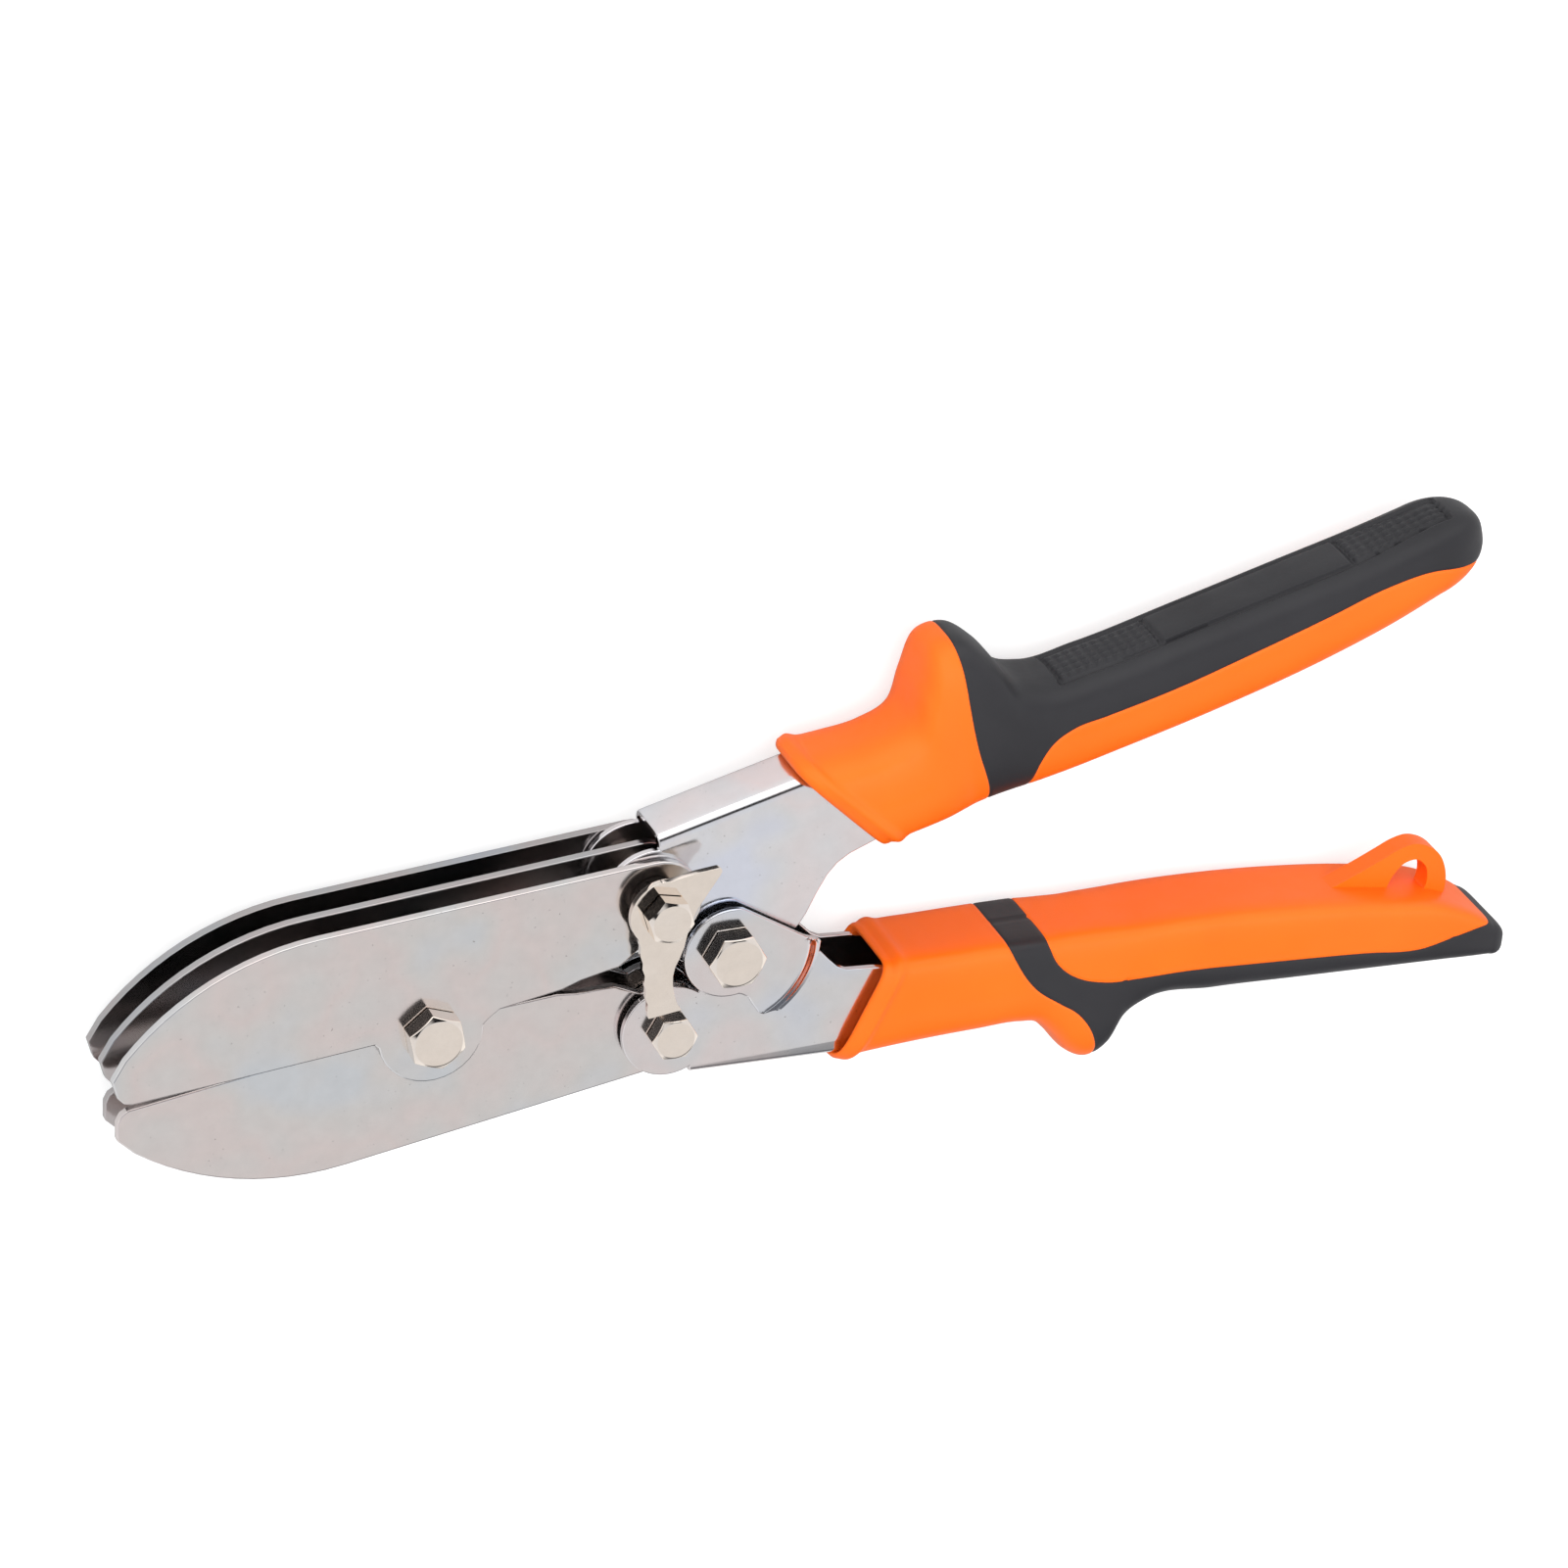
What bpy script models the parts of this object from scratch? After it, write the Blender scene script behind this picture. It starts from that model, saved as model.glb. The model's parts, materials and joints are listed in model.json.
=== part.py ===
"""Five-blade hand crimper for sheet-metal duct pipe.

The tool lies on its side: +X runs from the jaws to the grips, +Y from the lower handle to the
upper one, +Z from the nuts to the bolt heads. Outlines are in millimetres from the jaw pivot,
heights in millimetres from the middle of the blade pack, and every object is built in metres.
"""

import math

import bmesh
import bpy
from mathutils import Matrix, Vector

MM = 0.001
GAP = 0.3  # running gap between neighbouring pieces

# Where the jaw pivot and the middle of the blade pack stand in the world.
DATUM = Vector((-79.5, -1.245, 14.4)) * MM

# The four-bar linkage, handles latched: the jaw pivot is the origin.
LINK_X = 45.7
LINK_HALF_SPREAD = 14.2
HANDLE_PIVOT_X = 58.7
PIVOTS = {
    "jaw": (0.0, 0.0),
    "upper_link": (LINK_X, LINK_HALF_SPREAD),
    "lower_link": (LINK_X, -LINK_HALF_SPREAD),
    "handle": (HANDLE_PIVOT_X, 0.0),
}

# The stack along the bolts.
BLADE_THICK = 2.0
BLADE_PITCH = 7.9  # from one upper blade to the next; the lower blades stand half way between
UPPER_BLADE_MIDDLES = {"front": BLADE_PITCH, "middle": 0.0, "back": -BLADE_PITCH}
LOWER_BLADE_MIDDLES = {"front": BLADE_PITCH / 2, "back": -BLADE_PITCH / 2}
PACK_HALF = BLADE_PITCH + BLADE_THICK / 2
LOWER_BLADE_OUTSIDE = (BLADE_PITCH + BLADE_THICK) / 2
SHEET = 1.5
BEND_RADIUS = 2.0
UPPER_CHANNEL_HALF = PACK_HALF - BLADE_THICK - GAP
LOWER_CHANNEL_HALF = 7.5
EAR_HALF = 9.3  # outside of the lower handle's raised ears at the handle pivot
REST_PLANE = -14.4  # underside of the two large nuts

# Fasteners.
LARGE_BOLT = {"radius": 3.0, "flats": 10.0, "head": 4.0}
SMALL_BOLT = {"radius": 2.5, "flats": 8.0, "head": 3.4}
SMALL_NUT_HEIGHT = 4.0
HEAD_TURN = {"jaw": 33.0, "upper_link": 40.0, "lower_link": 53.0, "handle": 53.0}
OPEN_PIVOT_CLEARANCE = 0.6  # the lower blades' rear hole, where the linkage's loop is left open

# Blades.
JAW_LENGTH = 60.0
BACK_ARC_RADIUS = 53.4
BACK_ARC_CENTRE = (-20.5, -27.8)
JAW_BOSS_RADIUS = 10.2
TAIL_RADIUS = 8.8

# Handle channels.
UPPER_EAR_RADIUS = 10.0
UPPER_PIVOT_EAR_RADIUS = 7.2
LOWER_EAR_RADIUS = 9.3
RAISED_EAR_RADIUS = 9.2
POCKET_RADIUS = 7.7

# Latch.
LATCH_BOTTOM = 11.5
LATCH_THICK = 1.4
LATCH_ROUND_RADIUS = 6.8

# Spring.
SPRING_WIRE_RADIUS = 0.75
SPRING_COIL_RADIUS = 6.1

# Grips.
OVERMOULD_THICK = 1.2
RING_STEPS = 32
GRIP_AROUND = 22

COLOURS = {
    "zinc_steel": ((0.62, 0.60, 0.60), 0.32, 1.0),
    "nickel_plate": ((0.76, 0.70, 0.63), 0.2, 1.0),
    "spring_steel": ((0.30, 0.29, 0.28), 0.35, 1.0),
    "orange_plastic": ((1.0, 0.24, 0.03), 0.4, 0.0),
    "dark_rubber": ((0.045, 0.044, 0.048), 0.6, 0.0),
}


# ---------------------------------------------------------------- scene, materials, placing


def clear_scene():
    for obj in list(bpy.context.scene.objects):
        bpy.data.objects.remove(obj, do_unlink=True)


def make_collection(name):
    collection = bpy.data.collections.new(name)
    bpy.context.scene.collection.children.link(collection)
    return collection


def make_materials():
    for name, (colour, roughness, metallic) in COLOURS.items():
        material = bpy.data.materials.new(name)
        material.use_nodes = True
        shader = material.node_tree.nodes["Principled BSDF"]
        shader.inputs["Base Color"].default_value = (*colour, 1.0)
        shader.inputs["Roughness"].default_value = roughness
        shader.inputs["Metallic"].default_value = metallic


def make_axes():
    """One empty on each pivot's axis; every piece hangs on the empty of its own joint."""
    axes = {}
    for name, (x, y) in PIVOTS.items():
        empty = bpy.data.objects.new(name + "_axis", None)
        empty.location = DATUM + Vector((x, y, 0.0)) * MM
        empty.empty_display_size = 0.01
        PARTS.objects.link(empty)
        axes[name] = empty
    return axes


def place(obj, pivot, material):
    """Moves the origin of a piece built around the jaw pivot to its own pivot, and finishes it."""
    x, y = PIVOTS[pivot]
    obj.data.transform(Matrix.Translation(Vector((-x, -y, 0.0)) * MM))
    obj.parent = AXES[pivot]
    obj.data.materials.clear()
    obj.data.materials.append(bpy.data.materials[material])
    if obj.type == "MESH":
        obj.data.shade_smooth()
        obj.data.set_sharp_from_angle(angle=math.radians(35))
    return obj


# ---------------------------------------------------------------- shape helpers


def arc(centre, radius, start, end, steps=12):
    """Points on a circle from start to end, in degrees."""
    points = []
    for i in range(steps + 1):
        angle = math.radians(start + (end - start) * i / steps)
        points.append((centre[0] + radius * math.cos(angle), centre[1] + radius * math.sin(angle)))
    return points


def circle(centre, radius, steps=28):
    return arc(centre, radius, 0, 360 * (steps - 1) / steps, steps - 1)


def polar(centre, radius, angle):
    return arc(centre, radius, angle, angle, 1)[0]


def mirrored(points):
    return [(x, -y) for x, y in reversed(points)]


def outline_curve(name, loops, low, high):
    """A flat outline with its holes, as a filled 2D curve from one height to another."""
    curve = bpy.data.curves.new(name, "CURVE")
    curve.dimensions = "2D"
    curve.fill_mode = "BOTH"
    curve.extrude = (high - low) / 2 * MM
    for loop in loops:
        spline = curve.splines.new("POLY")
        spline.points.add(len(loop) - 1)
        for point, (x, y) in zip(spline.points, loop):
            point.co = (x * MM, y * MM, 0.0, 1.0)
        spline.use_cyclic_u = True
    curve.transform(Matrix.Translation((0.0, 0.0, (low + high) / 2 * MM)))
    return bpy.data.objects.new(name, curve)


def outline_solid(name, loops, low, high):
    """The same as a closed mesh with flat, undivided faces, so that it can be cut and bevelled."""
    obj = outline_curve(name, loops, low, high)
    CUTTERS.objects.link(obj)
    bpy.context.view_layer.update()
    graph = bpy.context.evaluated_depsgraph_get()
    mesh = bpy.data.meshes.new_from_object(obj.evaluated_get(graph), depsgraph=graph)
    curve = obj.data
    bpy.data.objects.remove(obj)
    bpy.data.curves.remove(curve)
    bm = bmesh.new()
    bm.from_mesh(mesh)
    bmesh.ops.remove_doubles(bm, verts=bm.verts, dist=0.001 * MM)
    bmesh.ops.dissolve_limit(bm, angle_limit=math.radians(0.5), verts=bm.verts, edges=bm.edges)
    bmesh.ops.recalc_face_normals(bm, faces=bm.faces)
    # The middle of a plate stands off the axis by less than its own height, so it is centred here.
    middle = (max(v.co.z for v in bm.verts) + min(v.co.z for v in bm.verts)) / 2
    bmesh.ops.translate(bm, verts=bm.verts, vec=(0.0, 0.0, (low + high) / 2 * MM - middle))
    bm.to_mesh(mesh)
    bm.free()
    mesh.name = name
    return bpy.data.objects.new(name, mesh)


def turned(name, profile, centre, steps=RING_STEPS, closed=True):
    """A profile of (radius, height) points turned round a vertical axis at centre."""
    bm = bmesh.new()
    verts = [bm.verts.new((radius * MM, 0.0, height * MM)) for radius, height in profile]
    for first, second in zip(verts, verts[1:]):
        bm.edges.new((first, second))
    if closed:
        bm.edges.new((verts[-1], verts[0]))
    mesh = bpy.data.meshes.new(name)
    bm.to_mesh(mesh)
    bm.free()
    obj = bpy.data.objects.new(name, mesh)
    screw = obj.modifiers.new("turn", "SCREW")
    screw.steps = steps
    screw.render_steps = steps
    screw.use_merge_vertices = True
    screw.merge_threshold = 0.00001
    return settled(obj, centre)


def settled(obj, centre=(0.0, 0.0)):
    """Applies the modifiers, and moves the mesh to its centre."""
    linked = obj.name in bpy.context.scene.collection.all_objects
    if not linked:
        CUTTERS.objects.link(obj)
    bpy.context.view_layer.update()
    graph = bpy.context.evaluated_depsgraph_get()
    mesh = bpy.data.meshes.new_from_object(obj.evaluated_get(graph), depsgraph=graph)
    if not linked:
        CUTTERS.objects.unlink(obj)
    obj.modifiers.clear()
    obj.data = mesh
    obj.data.transform(Matrix.Translation(Vector((*centre, 0.0)) * MM))
    return obj


def cut(obj, other, operation="DIFFERENCE"):
    """A Boolean modifier with a hidden cutter."""
    CUTTERS.objects.link(other)
    other.hide_render = True
    other.display_type = "WIRE"
    modifier = obj.modifiers.new(operation.lower(), "BOOLEAN")
    modifier.operation = operation
    modifier.solver = "EXACT"
    modifier.object = other
    return modifier


def finish(obj, pivot, material):
    """Applies the modifiers, places the piece and puts it among the parts."""
    settled(obj)
    place(obj, pivot, material)
    PARTS.objects.link(obj)
    return obj


def plate(name, loops, middle, thick, pivot, material):
    """A flat stamped piece."""
    obj = outline_curve(name, loops, middle - thick / 2, middle + thick / 2)
    place(obj, pivot, material)
    PARTS.objects.link(obj)
    return obj


def ring(name, pivot, inner, outer, low, high, material="nickel_plate"):
    """A washer, sleeve or bush on a bolt."""
    profile = [(outer, high), (outer, low), (inner, low), (inner, high)]
    return finish(turned(name, profile, PIVOTS[pivot]), pivot, material)


def hexagon(centre, flats, turn):
    return [polar(centre, flats / math.sqrt(3), turn + 60 * i) for i in range(6)]


def chamfer_profile(flats, low, high, both_ends):
    """The turned body that takes the corners off a hexagon."""
    edge = flats / 2 * 0.95
    corner = flats / math.sqrt(3) + 0.2
    drop = (corner - edge) * math.tan(math.radians(30))
    profile = [(0.0, high), (edge, high), (corner, high - drop)]
    if both_ends:
        return profile + [(corner, low + drop), (edge, low), (0.0, low)]
    return profile + [(corner, low), (0.0, low)]


def bolt(name, pivot, size, head_low, tip):
    """A hexagon-head bolt: its head starts at head_low and its shank ends at tip."""
    centre = PIVOTS[pivot]
    head_high = head_low + size["head"]
    head = outline_solid(name, [hexagon(centre, size["flats"], HEAD_TURN[pivot])], head_low, head_high)
    body = chamfer_profile(size["flats"], head_low - 1.0, head_high, False)
    cut(head, turned(name + "_head_body", body, centre, 36, False), "INTERSECT")
    lead = 0.5
    shank = [
        (0.0, head_low + 1.0),
        (size["radius"], head_low + 1.0),
        (size["radius"], tip + lead),
        (size["radius"] - lead, tip),
        (0.0, tip),
    ]
    cut(head, turned(name + "_shank", shank, centre, RING_STEPS, False), "UNION")
    return finish(head, pivot, "nickel_plate")


def nut(name, pivot, size, low, high):
    """A hexagon nut with a plain hole that clears the shank by the running gap."""
    centre = PIVOTS[pivot]
    loops = [hexagon(centre, size["flats"], HEAD_TURN[pivot] + 12)]
    body = outline_solid(name, loops, low, high)
    profile = chamfer_profile(size["flats"], low, high, True)
    cut(body, turned(name + "_body", profile, centre, 36, False), "INTERSECT")
    hole = [
        (0.0, high + 1.0),
        (size["radius"] + GAP, high + 1.0),
        (size["radius"] + GAP, low - 1.0),
        (0.0, low - 1.0),
    ]
    cut(body, turned(name + "_hole", hole, centre, RING_STEPS, False))
    return finish(body, pivot, "nickel_plate")


# ---------------------------------------------------------------- blades


def blade_outline():
    """An upper blade, anticlockwise: crimping edge, pivot boss, relief, tail, arched back."""
    nose = (-JAW_LENGTH, 7.4)
    back_start = (-57.2, 11.1)
    crimping_edge = [(-59.5, 3.9), (-58.5, 2.4), (-57.0, 1.7), (-JAW_BOSS_RADIUS - 0.7, 0.5)]
    boss = arc((0.0, 0.0), JAW_BOSS_RADIUS, 182, 354, 16)
    relief = [(11.4, -0.1), (13.3, 1.0), (25.6, 1.6), (29.5, 2.5), (37.0, 3.2)]
    tail_tip = PIVOTS["upper_link"]
    tail = arc(tail_tip, TAIL_RADIUS, 245, 448, 18)
    start = math.degrees(math.atan2(back_start[1] - BACK_ARC_CENTRE[1], back_start[0] - BACK_ARC_CENTRE[0]))
    back = arc(BACK_ARC_CENTRE, BACK_ARC_RADIUS, 88, start, 12)
    return [nose] + crimping_edge + boss + relief + tail + back


def make_blades():
    upper = blade_outline()
    lower = mirrored(upper)
    jaw_hole = circle(PIVOTS["jaw"], LARGE_BOLT["radius"] + GAP)
    upper_hole = circle(PIVOTS["upper_link"], SMALL_BOLT["radius"] + GAP)
    lower_hole = circle(PIVOTS["lower_link"], SMALL_BOLT["radius"] + GAP + OPEN_PIVOT_CLEARANCE)
    for place_name, middle in UPPER_BLADE_MIDDLES.items():
        loops = [upper, jaw_hole, upper_hole]
        plate("upper_blade_" + place_name, loops, middle, BLADE_THICK, "upper_link", "zinc_steel")
    for place_name, middle in LOWER_BLADE_MIDDLES.items():
        loops = [lower, jaw_hole, lower_hole]
        plate("lower_blade_" + place_name, loops, middle, BLADE_THICK, "jaw", "zinc_steel")


# ---------------------------------------------------------------- bolts, washers, sleeves


def make_jaw_pivot():
    head_low = PACK_HALF + GAP
    bolt("jaw_pivot_bolt", "jaw", LARGE_BOLT, head_low, REST_PLANE + GAP)
    nut("jaw_pivot_nut", "jaw", LARGE_BOLT, REST_PLANE, -PACK_HALF - GAP)
    inside = BLADE_THICK / 2 + GAP
    half_pitch = BLADE_PITCH / 2
    for i, low_blade in enumerate((-2, -1, 0, 1)):
        low = low_blade * half_pitch + inside
        high = (low_blade + 1) * half_pitch - inside
        ring(f"jaw_washer_{i + 1}", "jaw", LARGE_BOLT["radius"] + GAP, 7.0, low, high)


def make_upper_link():
    head_low = LATCH_BOTTOM + LATCH_THICK + GAP
    nut_high = -PACK_HALF - GAP
    bolt("upper_link_bolt", "upper_link", SMALL_BOLT, head_low, nut_high - SMALL_NUT_HEIGHT + GAP)
    nut("upper_link_nut", "upper_link", SMALL_BOLT, nut_high - SMALL_NUT_HEIGHT, nut_high)
    inner = SMALL_BOLT["radius"] + GAP
    low = BLADE_THICK / 2 + GAP
    high = UPPER_CHANNEL_HALF - SHEET - GAP
    ring("upper_link_sleeve_front", "upper_link", inner, 5.0, low, high)
    ring("upper_link_sleeve_back", "upper_link", inner, 5.0, -high, -low)
    ring("latch_spacer", "upper_link", inner, 4.6, PACK_HALF + GAP, LATCH_BOTTOM - GAP)


def make_lower_link():
    head_low = LOWER_CHANNEL_HALF + GAP
    nut_high = -LOWER_CHANNEL_HALF - GAP
    bolt("lower_link_bolt", "lower_link", SMALL_BOLT, head_low, nut_high - SMALL_NUT_HEIGHT + GAP)
    nut("lower_link_nut", "lower_link", SMALL_BOLT, nut_high - SMALL_NUT_HEIGHT, nut_high)
    inner = SMALL_BOLT["radius"] + GAP
    sleeve_half = BLADE_PITCH / 2 - BLADE_THICK / 2 - GAP
    ring("lower_link_sleeve", "lower_link", inner, 5.0, -sleeve_half, sleeve_half)
    low = LOWER_BLADE_OUTSIDE + GAP
    high = LOWER_CHANNEL_HALF - SHEET - GAP
    ring("lower_link_washer_front", "lower_link", inner, 6.0, low, high)
    ring("lower_link_washer_back", "lower_link", inner, 6.0, -high, -low)


def make_handle_pivot():
    bolt("handle_pivot_bolt", "handle", LARGE_BOLT, EAR_HALF + GAP, REST_PLANE + GAP)
    nut("handle_pivot_nut", "handle", LARGE_BOLT, REST_PLANE, -EAR_HALF - GAP)
    inner = LARGE_BOLT["radius"] + GAP
    bush_half = UPPER_CHANNEL_HALF - SHEET - GAP
    ring("handle_pivot_bush", "handle", inner, 5.0, -bush_half, bush_half)
    low = UPPER_CHANNEL_HALF + GAP
    high = EAR_HALF - SHEET - GAP
    ring("handle_pivot_washer_front", "handle", inner, 6.0, low, high)
    ring("handle_pivot_washer_back", "handle", inner, 6.0, -high, -low)


def wire(name, points, pivot):
    """A round spring wire through points in millimetres."""
    curve = bpy.data.curves.new(name, "CURVE")
    curve.dimensions = "3D"
    curve.bevel_depth = SPRING_WIRE_RADIUS * MM
    curve.bevel_resolution = 1
    curve.use_fill_caps = True
    spline = curve.splines.new("POLY")
    spline.points.add(len(points) - 1)
    for point, (x, y, z) in zip(spline.points, points):
        point.co = (x * MM, y * MM, z * MM, 1.0)
    obj = bpy.data.objects.new(name, curve)
    place(obj, pivot, "spring_steel")
    PARTS.objects.link(obj)
    return obj


def make_spring():
    """The opening spring round the handle pivot's bush: its coil with the leg that bears on the
    upper handle, and the leg that bears on the lower handle."""
    centre = PIVOTS["handle"]
    upper_foot = (76.0, 27.2)
    lower_foot = (76.0, -25.4)
    top = 3.7
    bottom = -2.2
    lower_leg_height = -4.0
    leg_angle = 133.0
    turns = 3
    sweep = 360 * turns + 2 * (180 - leg_angle)
    steps = 60
    coil = [(*upper_foot, top)]
    for i in range(steps + 1):
        x, y = polar(centre, SPRING_COIL_RADIUS, leg_angle + sweep * i / steps)
        coil.append((x, y, top + (bottom - top) * i / steps))
    wire("torsion_spring", coil, "handle")
    leg_start = polar(centre, SPRING_COIL_RADIUS, -leg_angle)
    wire("torsion_spring_lower_leg", [(*leg_start, lower_leg_height), (*lower_foot, lower_leg_height)], "handle")


# ---------------------------------------------------------------- latch


def make_latch():
    centre = PIVOTS["upper_link"]
    round_end = arc(centre, LATCH_ROUND_RADIUS, 78, 225, 12)
    foot = [(40.2, 7.4), (40.3, -6.9), (46.9, -6.9), (45.9, -4.6)]
    neck = [(45.8, 0.0), (46.9, 3.0), (48.4, 5.2), (49.8, 10.0), (51.8, 13.6)]
    tab = [(57.2, 19.7), (57.5, 20.4), (56.9, 21.0), (53.0, 21.2)]
    hole = circle(centre, SMALL_BOLT["radius"] + GAP)
    middle = LATCH_BOTTOM + LATCH_THICK / 2
    loops = [round_end + foot + neck + tab, hole]
    plate("latch_plate", loops, middle, LATCH_THICK, "upper_link", "nickel_plate")


# ---------------------------------------------------------------- handle channels


def round_bend(obj, line, half, radius):
    """Marks the long edges of a channel's web, on both sides, for a rounded bend."""
    mesh = obj.data
    weights = mesh.attributes.new("bevel_weight_edge", "FLOAT", "EDGE")
    reach = 0.01 * MM

    def on_line(point):
        if abs(abs(point.z) - half * MM) > reach:
            return False
        return any((point.xy - Vector(corner) * MM).length < reach for corner in line)

    for edge in mesh.edges:
        first, second = (mesh.vertices[i].co for i in edge.vertices)
        if on_line(first) and on_line(second) and abs(first.z - second.z) < reach:
            weights.data[edge.index].value = 1.0
    bevel = obj.modifiers.new("bend", "BEVEL")
    bevel.limit_method = "WEIGHT"
    bevel.width = radius * MM
    bevel.segments = 4
    return settled(obj)


def make_upper_channel():
    """The upper handle: a U-channel open below, with ears at the upper link and handle pivots."""
    pivot = PIVOTS["handle"]
    web = [(195.0, 41.8), (125.0, 32.8), (95.0, 31.0), (76.7, 31.0), (47.9, 27.0)]
    underside = [(70.5, -1.7), (74.8, 2.3), (79.7, 9.4), (84.5, 12.6), (90.0, 14.2), (110.0, 18.4)]
    tang = [(140.0, 22.6), (160.0, 25.8), (195.0, 35.5)]
    mouth = [(47.9, 25.4), (46.8, 24.5)]
    link_ear = arc(PIVOTS["upper_link"], UPPER_EAR_RADIUS, 88, 260, 16)
    pivot_ear = arc(pivot, UPPER_PIVOT_EAR_RADIUS, 200, 310, 12)
    outline = pivot_ear + underside + tang + web + mouth + link_ear
    half = UPPER_CHANNEL_HALF
    channel = outline_solid("upper_handle_channel", [outline], -half, half)
    round_bend(channel, web, half, BEND_RADIUS)
    inner_web = [(x, y - SHEET) for x, y in web]
    left = 30.0
    right = 205.0
    inner_end = (right, inner_web[0][1] + 1.3)
    mouth_x = inner_web[-1][0]
    open_side = [(mouth_x, 40.0), (left, 40.0), (left, -30.0), (right, -30.0)]
    inner_half = half - SHEET
    inner = outline_solid("upper_channel_inside", [[inner_end] + inner_web + open_side], -inner_half, inner_half)
    cut(channel, inner)
    drill(channel, "upper_link", SMALL_BOLT)
    drill(channel, "handle", LARGE_BOLT)
    return finish(channel, "handle", "zinc_steel")


def drill(obj, pivot, size):
    """A hole for a bolt through both flanges."""
    radius = size["radius"] + GAP
    reach = 20.0
    profile = [(0.0, reach), (radius, reach), (radius, -reach), (0.0, -reach)]
    cut(obj, turned(obj.name + "_" + pivot + "_hole", profile, PIVOTS[pivot], RING_STEPS, False))


def make_lower_channel():
    """The lower handle: a U-channel open above, whose ears at the handle pivot are raised to
    pass outside the upper handle's flanges."""
    pivot = PIVOTS["handle"]
    web = [
        (48.9, -24.5),
        (78.2, -29.1),
        (97.0, -30.2),
        (115.0, -31.2),
        (140.0, -33.6),
        (170.0, -38.2),
        (200.0, -43.0),
    ]
    tang = [(200.0, -36.0), (175.0, -28.6), (150.0, -23.8), (120.0, -19.2), (100.0, -16.4)]
    top_edge = [(90.5, -13.6), (84.6, -12.0), (80.3, -10.5), (78.0, -8.1), (76.7, -6.0)]
    under_ear = [(70.0, -3.0), (56.0, -3.5), (52.6, -7.4)]
    link_ear = arc(PIVOTS["lower_link"], LOWER_EAR_RADIUS, 46, 290, 22)
    outline = web + tang + top_edge + under_ear + link_ear
    half = LOWER_CHANNEL_HALF
    channel = outline_solid("lower_handle_channel", [outline], -half, half)
    round_bend(channel, web, half, BEND_RADIUS)

    cam_tip = [(60.0, -9.6), (61.3, -10.7), (62.8, -14.0), (64.0, -15.2), (65.6, -15.5)]
    cam_arc = arc(pivot, 17.9, -60, -14, 10)
    raised = arc(pivot, RAISED_EAR_RADIUS, 68, 275, 20) + cam_tip + cam_arc
    ear = outline_solid("raised_ear", [raised], -EAR_HALF, EAR_HALF)
    cut(channel, ear, "UNION")

    inner_web = [(x, y + SHEET) for x, y in web]
    left = 30.0
    right = 205.0
    mouth_x = web[0][0] - 0.1
    open_side = [(right, 20.0), (left, 20.0), (left, -30.0), (mouth_x, -30.0)]
    inner_web[0] = (mouth_x, inner_web[0][1])
    inner_web[-1] = (right, inner_web[-1][1] - 0.8)
    inner_half = half - SHEET
    cut(channel, outline_solid("lower_channel_inside", [inner_web + open_side], -inner_half, inner_half))

    pocket = [(40.0, 14.0), (40.0, -3.2), (48.0, -4.6), (51.0, -6.4)]
    pocket += arc(pivot, POCKET_RADIUS, 231, 288, 8)
    pocket += [polar(pivot, 14.4, -65)]
    pocket += arc(pivot, 16.4, -58, -16, 8)
    pocket += [(79.0, -3.0), (79.0, 14.0)]
    pocket_half = EAR_HALF - SHEET
    cut(channel, outline_solid("ear_pocket", [pocket], -pocket_half, pocket_half))
    drill(channel, "lower_link", SMALL_BOLT)
    drill(channel, "handle", LARGE_BOLT)
    return finish(channel, "handle", "zinc_steel")


# ---------------------------------------------------------------- grips


def smooth_stations(stations, parts):
    """Stations with extra ones between them on a Catmull-Rom curve."""
    result = []
    last = len(stations) - 1
    for i in range(last):
        before = Vector(stations[max(i - 1, 0)])
        start = Vector(stations[i])
        end = Vector(stations[i + 1])
        after = Vector(stations[min(i + 2, last)])
        for j in range(parts):
            t = j / parts
            point = 2 * start + (end - before) * t
            point += (2 * before - 5 * start + 4 * end - after) * t**2
            point += (3 * start - before - 3 * end + after) * t**3
            result.append(tuple(point / 2))
    result.append(tuple(stations[-1]))
    return result


def loft(name, stations, squareness, inset=0.0):
    """A closed body through stations of (low x, low y, high x, high y, half width), each a
    rounded rectangle standing across the tool."""
    bm = bmesh.new()
    rings = []
    for low_x, low_y, high_x, high_y, half_width in stations:
        low = Vector((low_x, low_y))
        high = Vector((high_x, high_y))
        centre = (low + high) / 2
        up = (high - low) / 2
        up *= max(1 - inset / up.length, 0.1)
        width = max(half_width - inset, 0.5)
        verts = []
        for i in range(GRIP_AROUND):
            angle = 2 * math.pi * (i + 0.5) / GRIP_AROUND
            side, rise = math.cos(angle), math.sin(angle)
            side = math.copysign(abs(side) ** (2 / squareness), side)
            rise = math.copysign(abs(rise) ** (2 / squareness), rise)
            point = centre + up * rise
            verts.append(bm.verts.new((point.x * MM, point.y * MM, width * side * MM)))
        rings.append(verts)
    for first, second in zip(rings, rings[1:]):
        for i in range(GRIP_AROUND):
            j = (i + 1) % GRIP_AROUND
            bm.faces.new((first[i], first[j], second[j], second[i]))
    bm.faces.new(rings[0])
    bm.faces.new(reversed(rings[-1]))
    bmesh.ops.recalc_face_normals(bm, faces=bm.faces)
    mesh = bpy.data.meshes.new(name)
    bm.to_mesh(mesh)
    bm.free()
    return bpy.data.objects.new(name, mesh)


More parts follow.
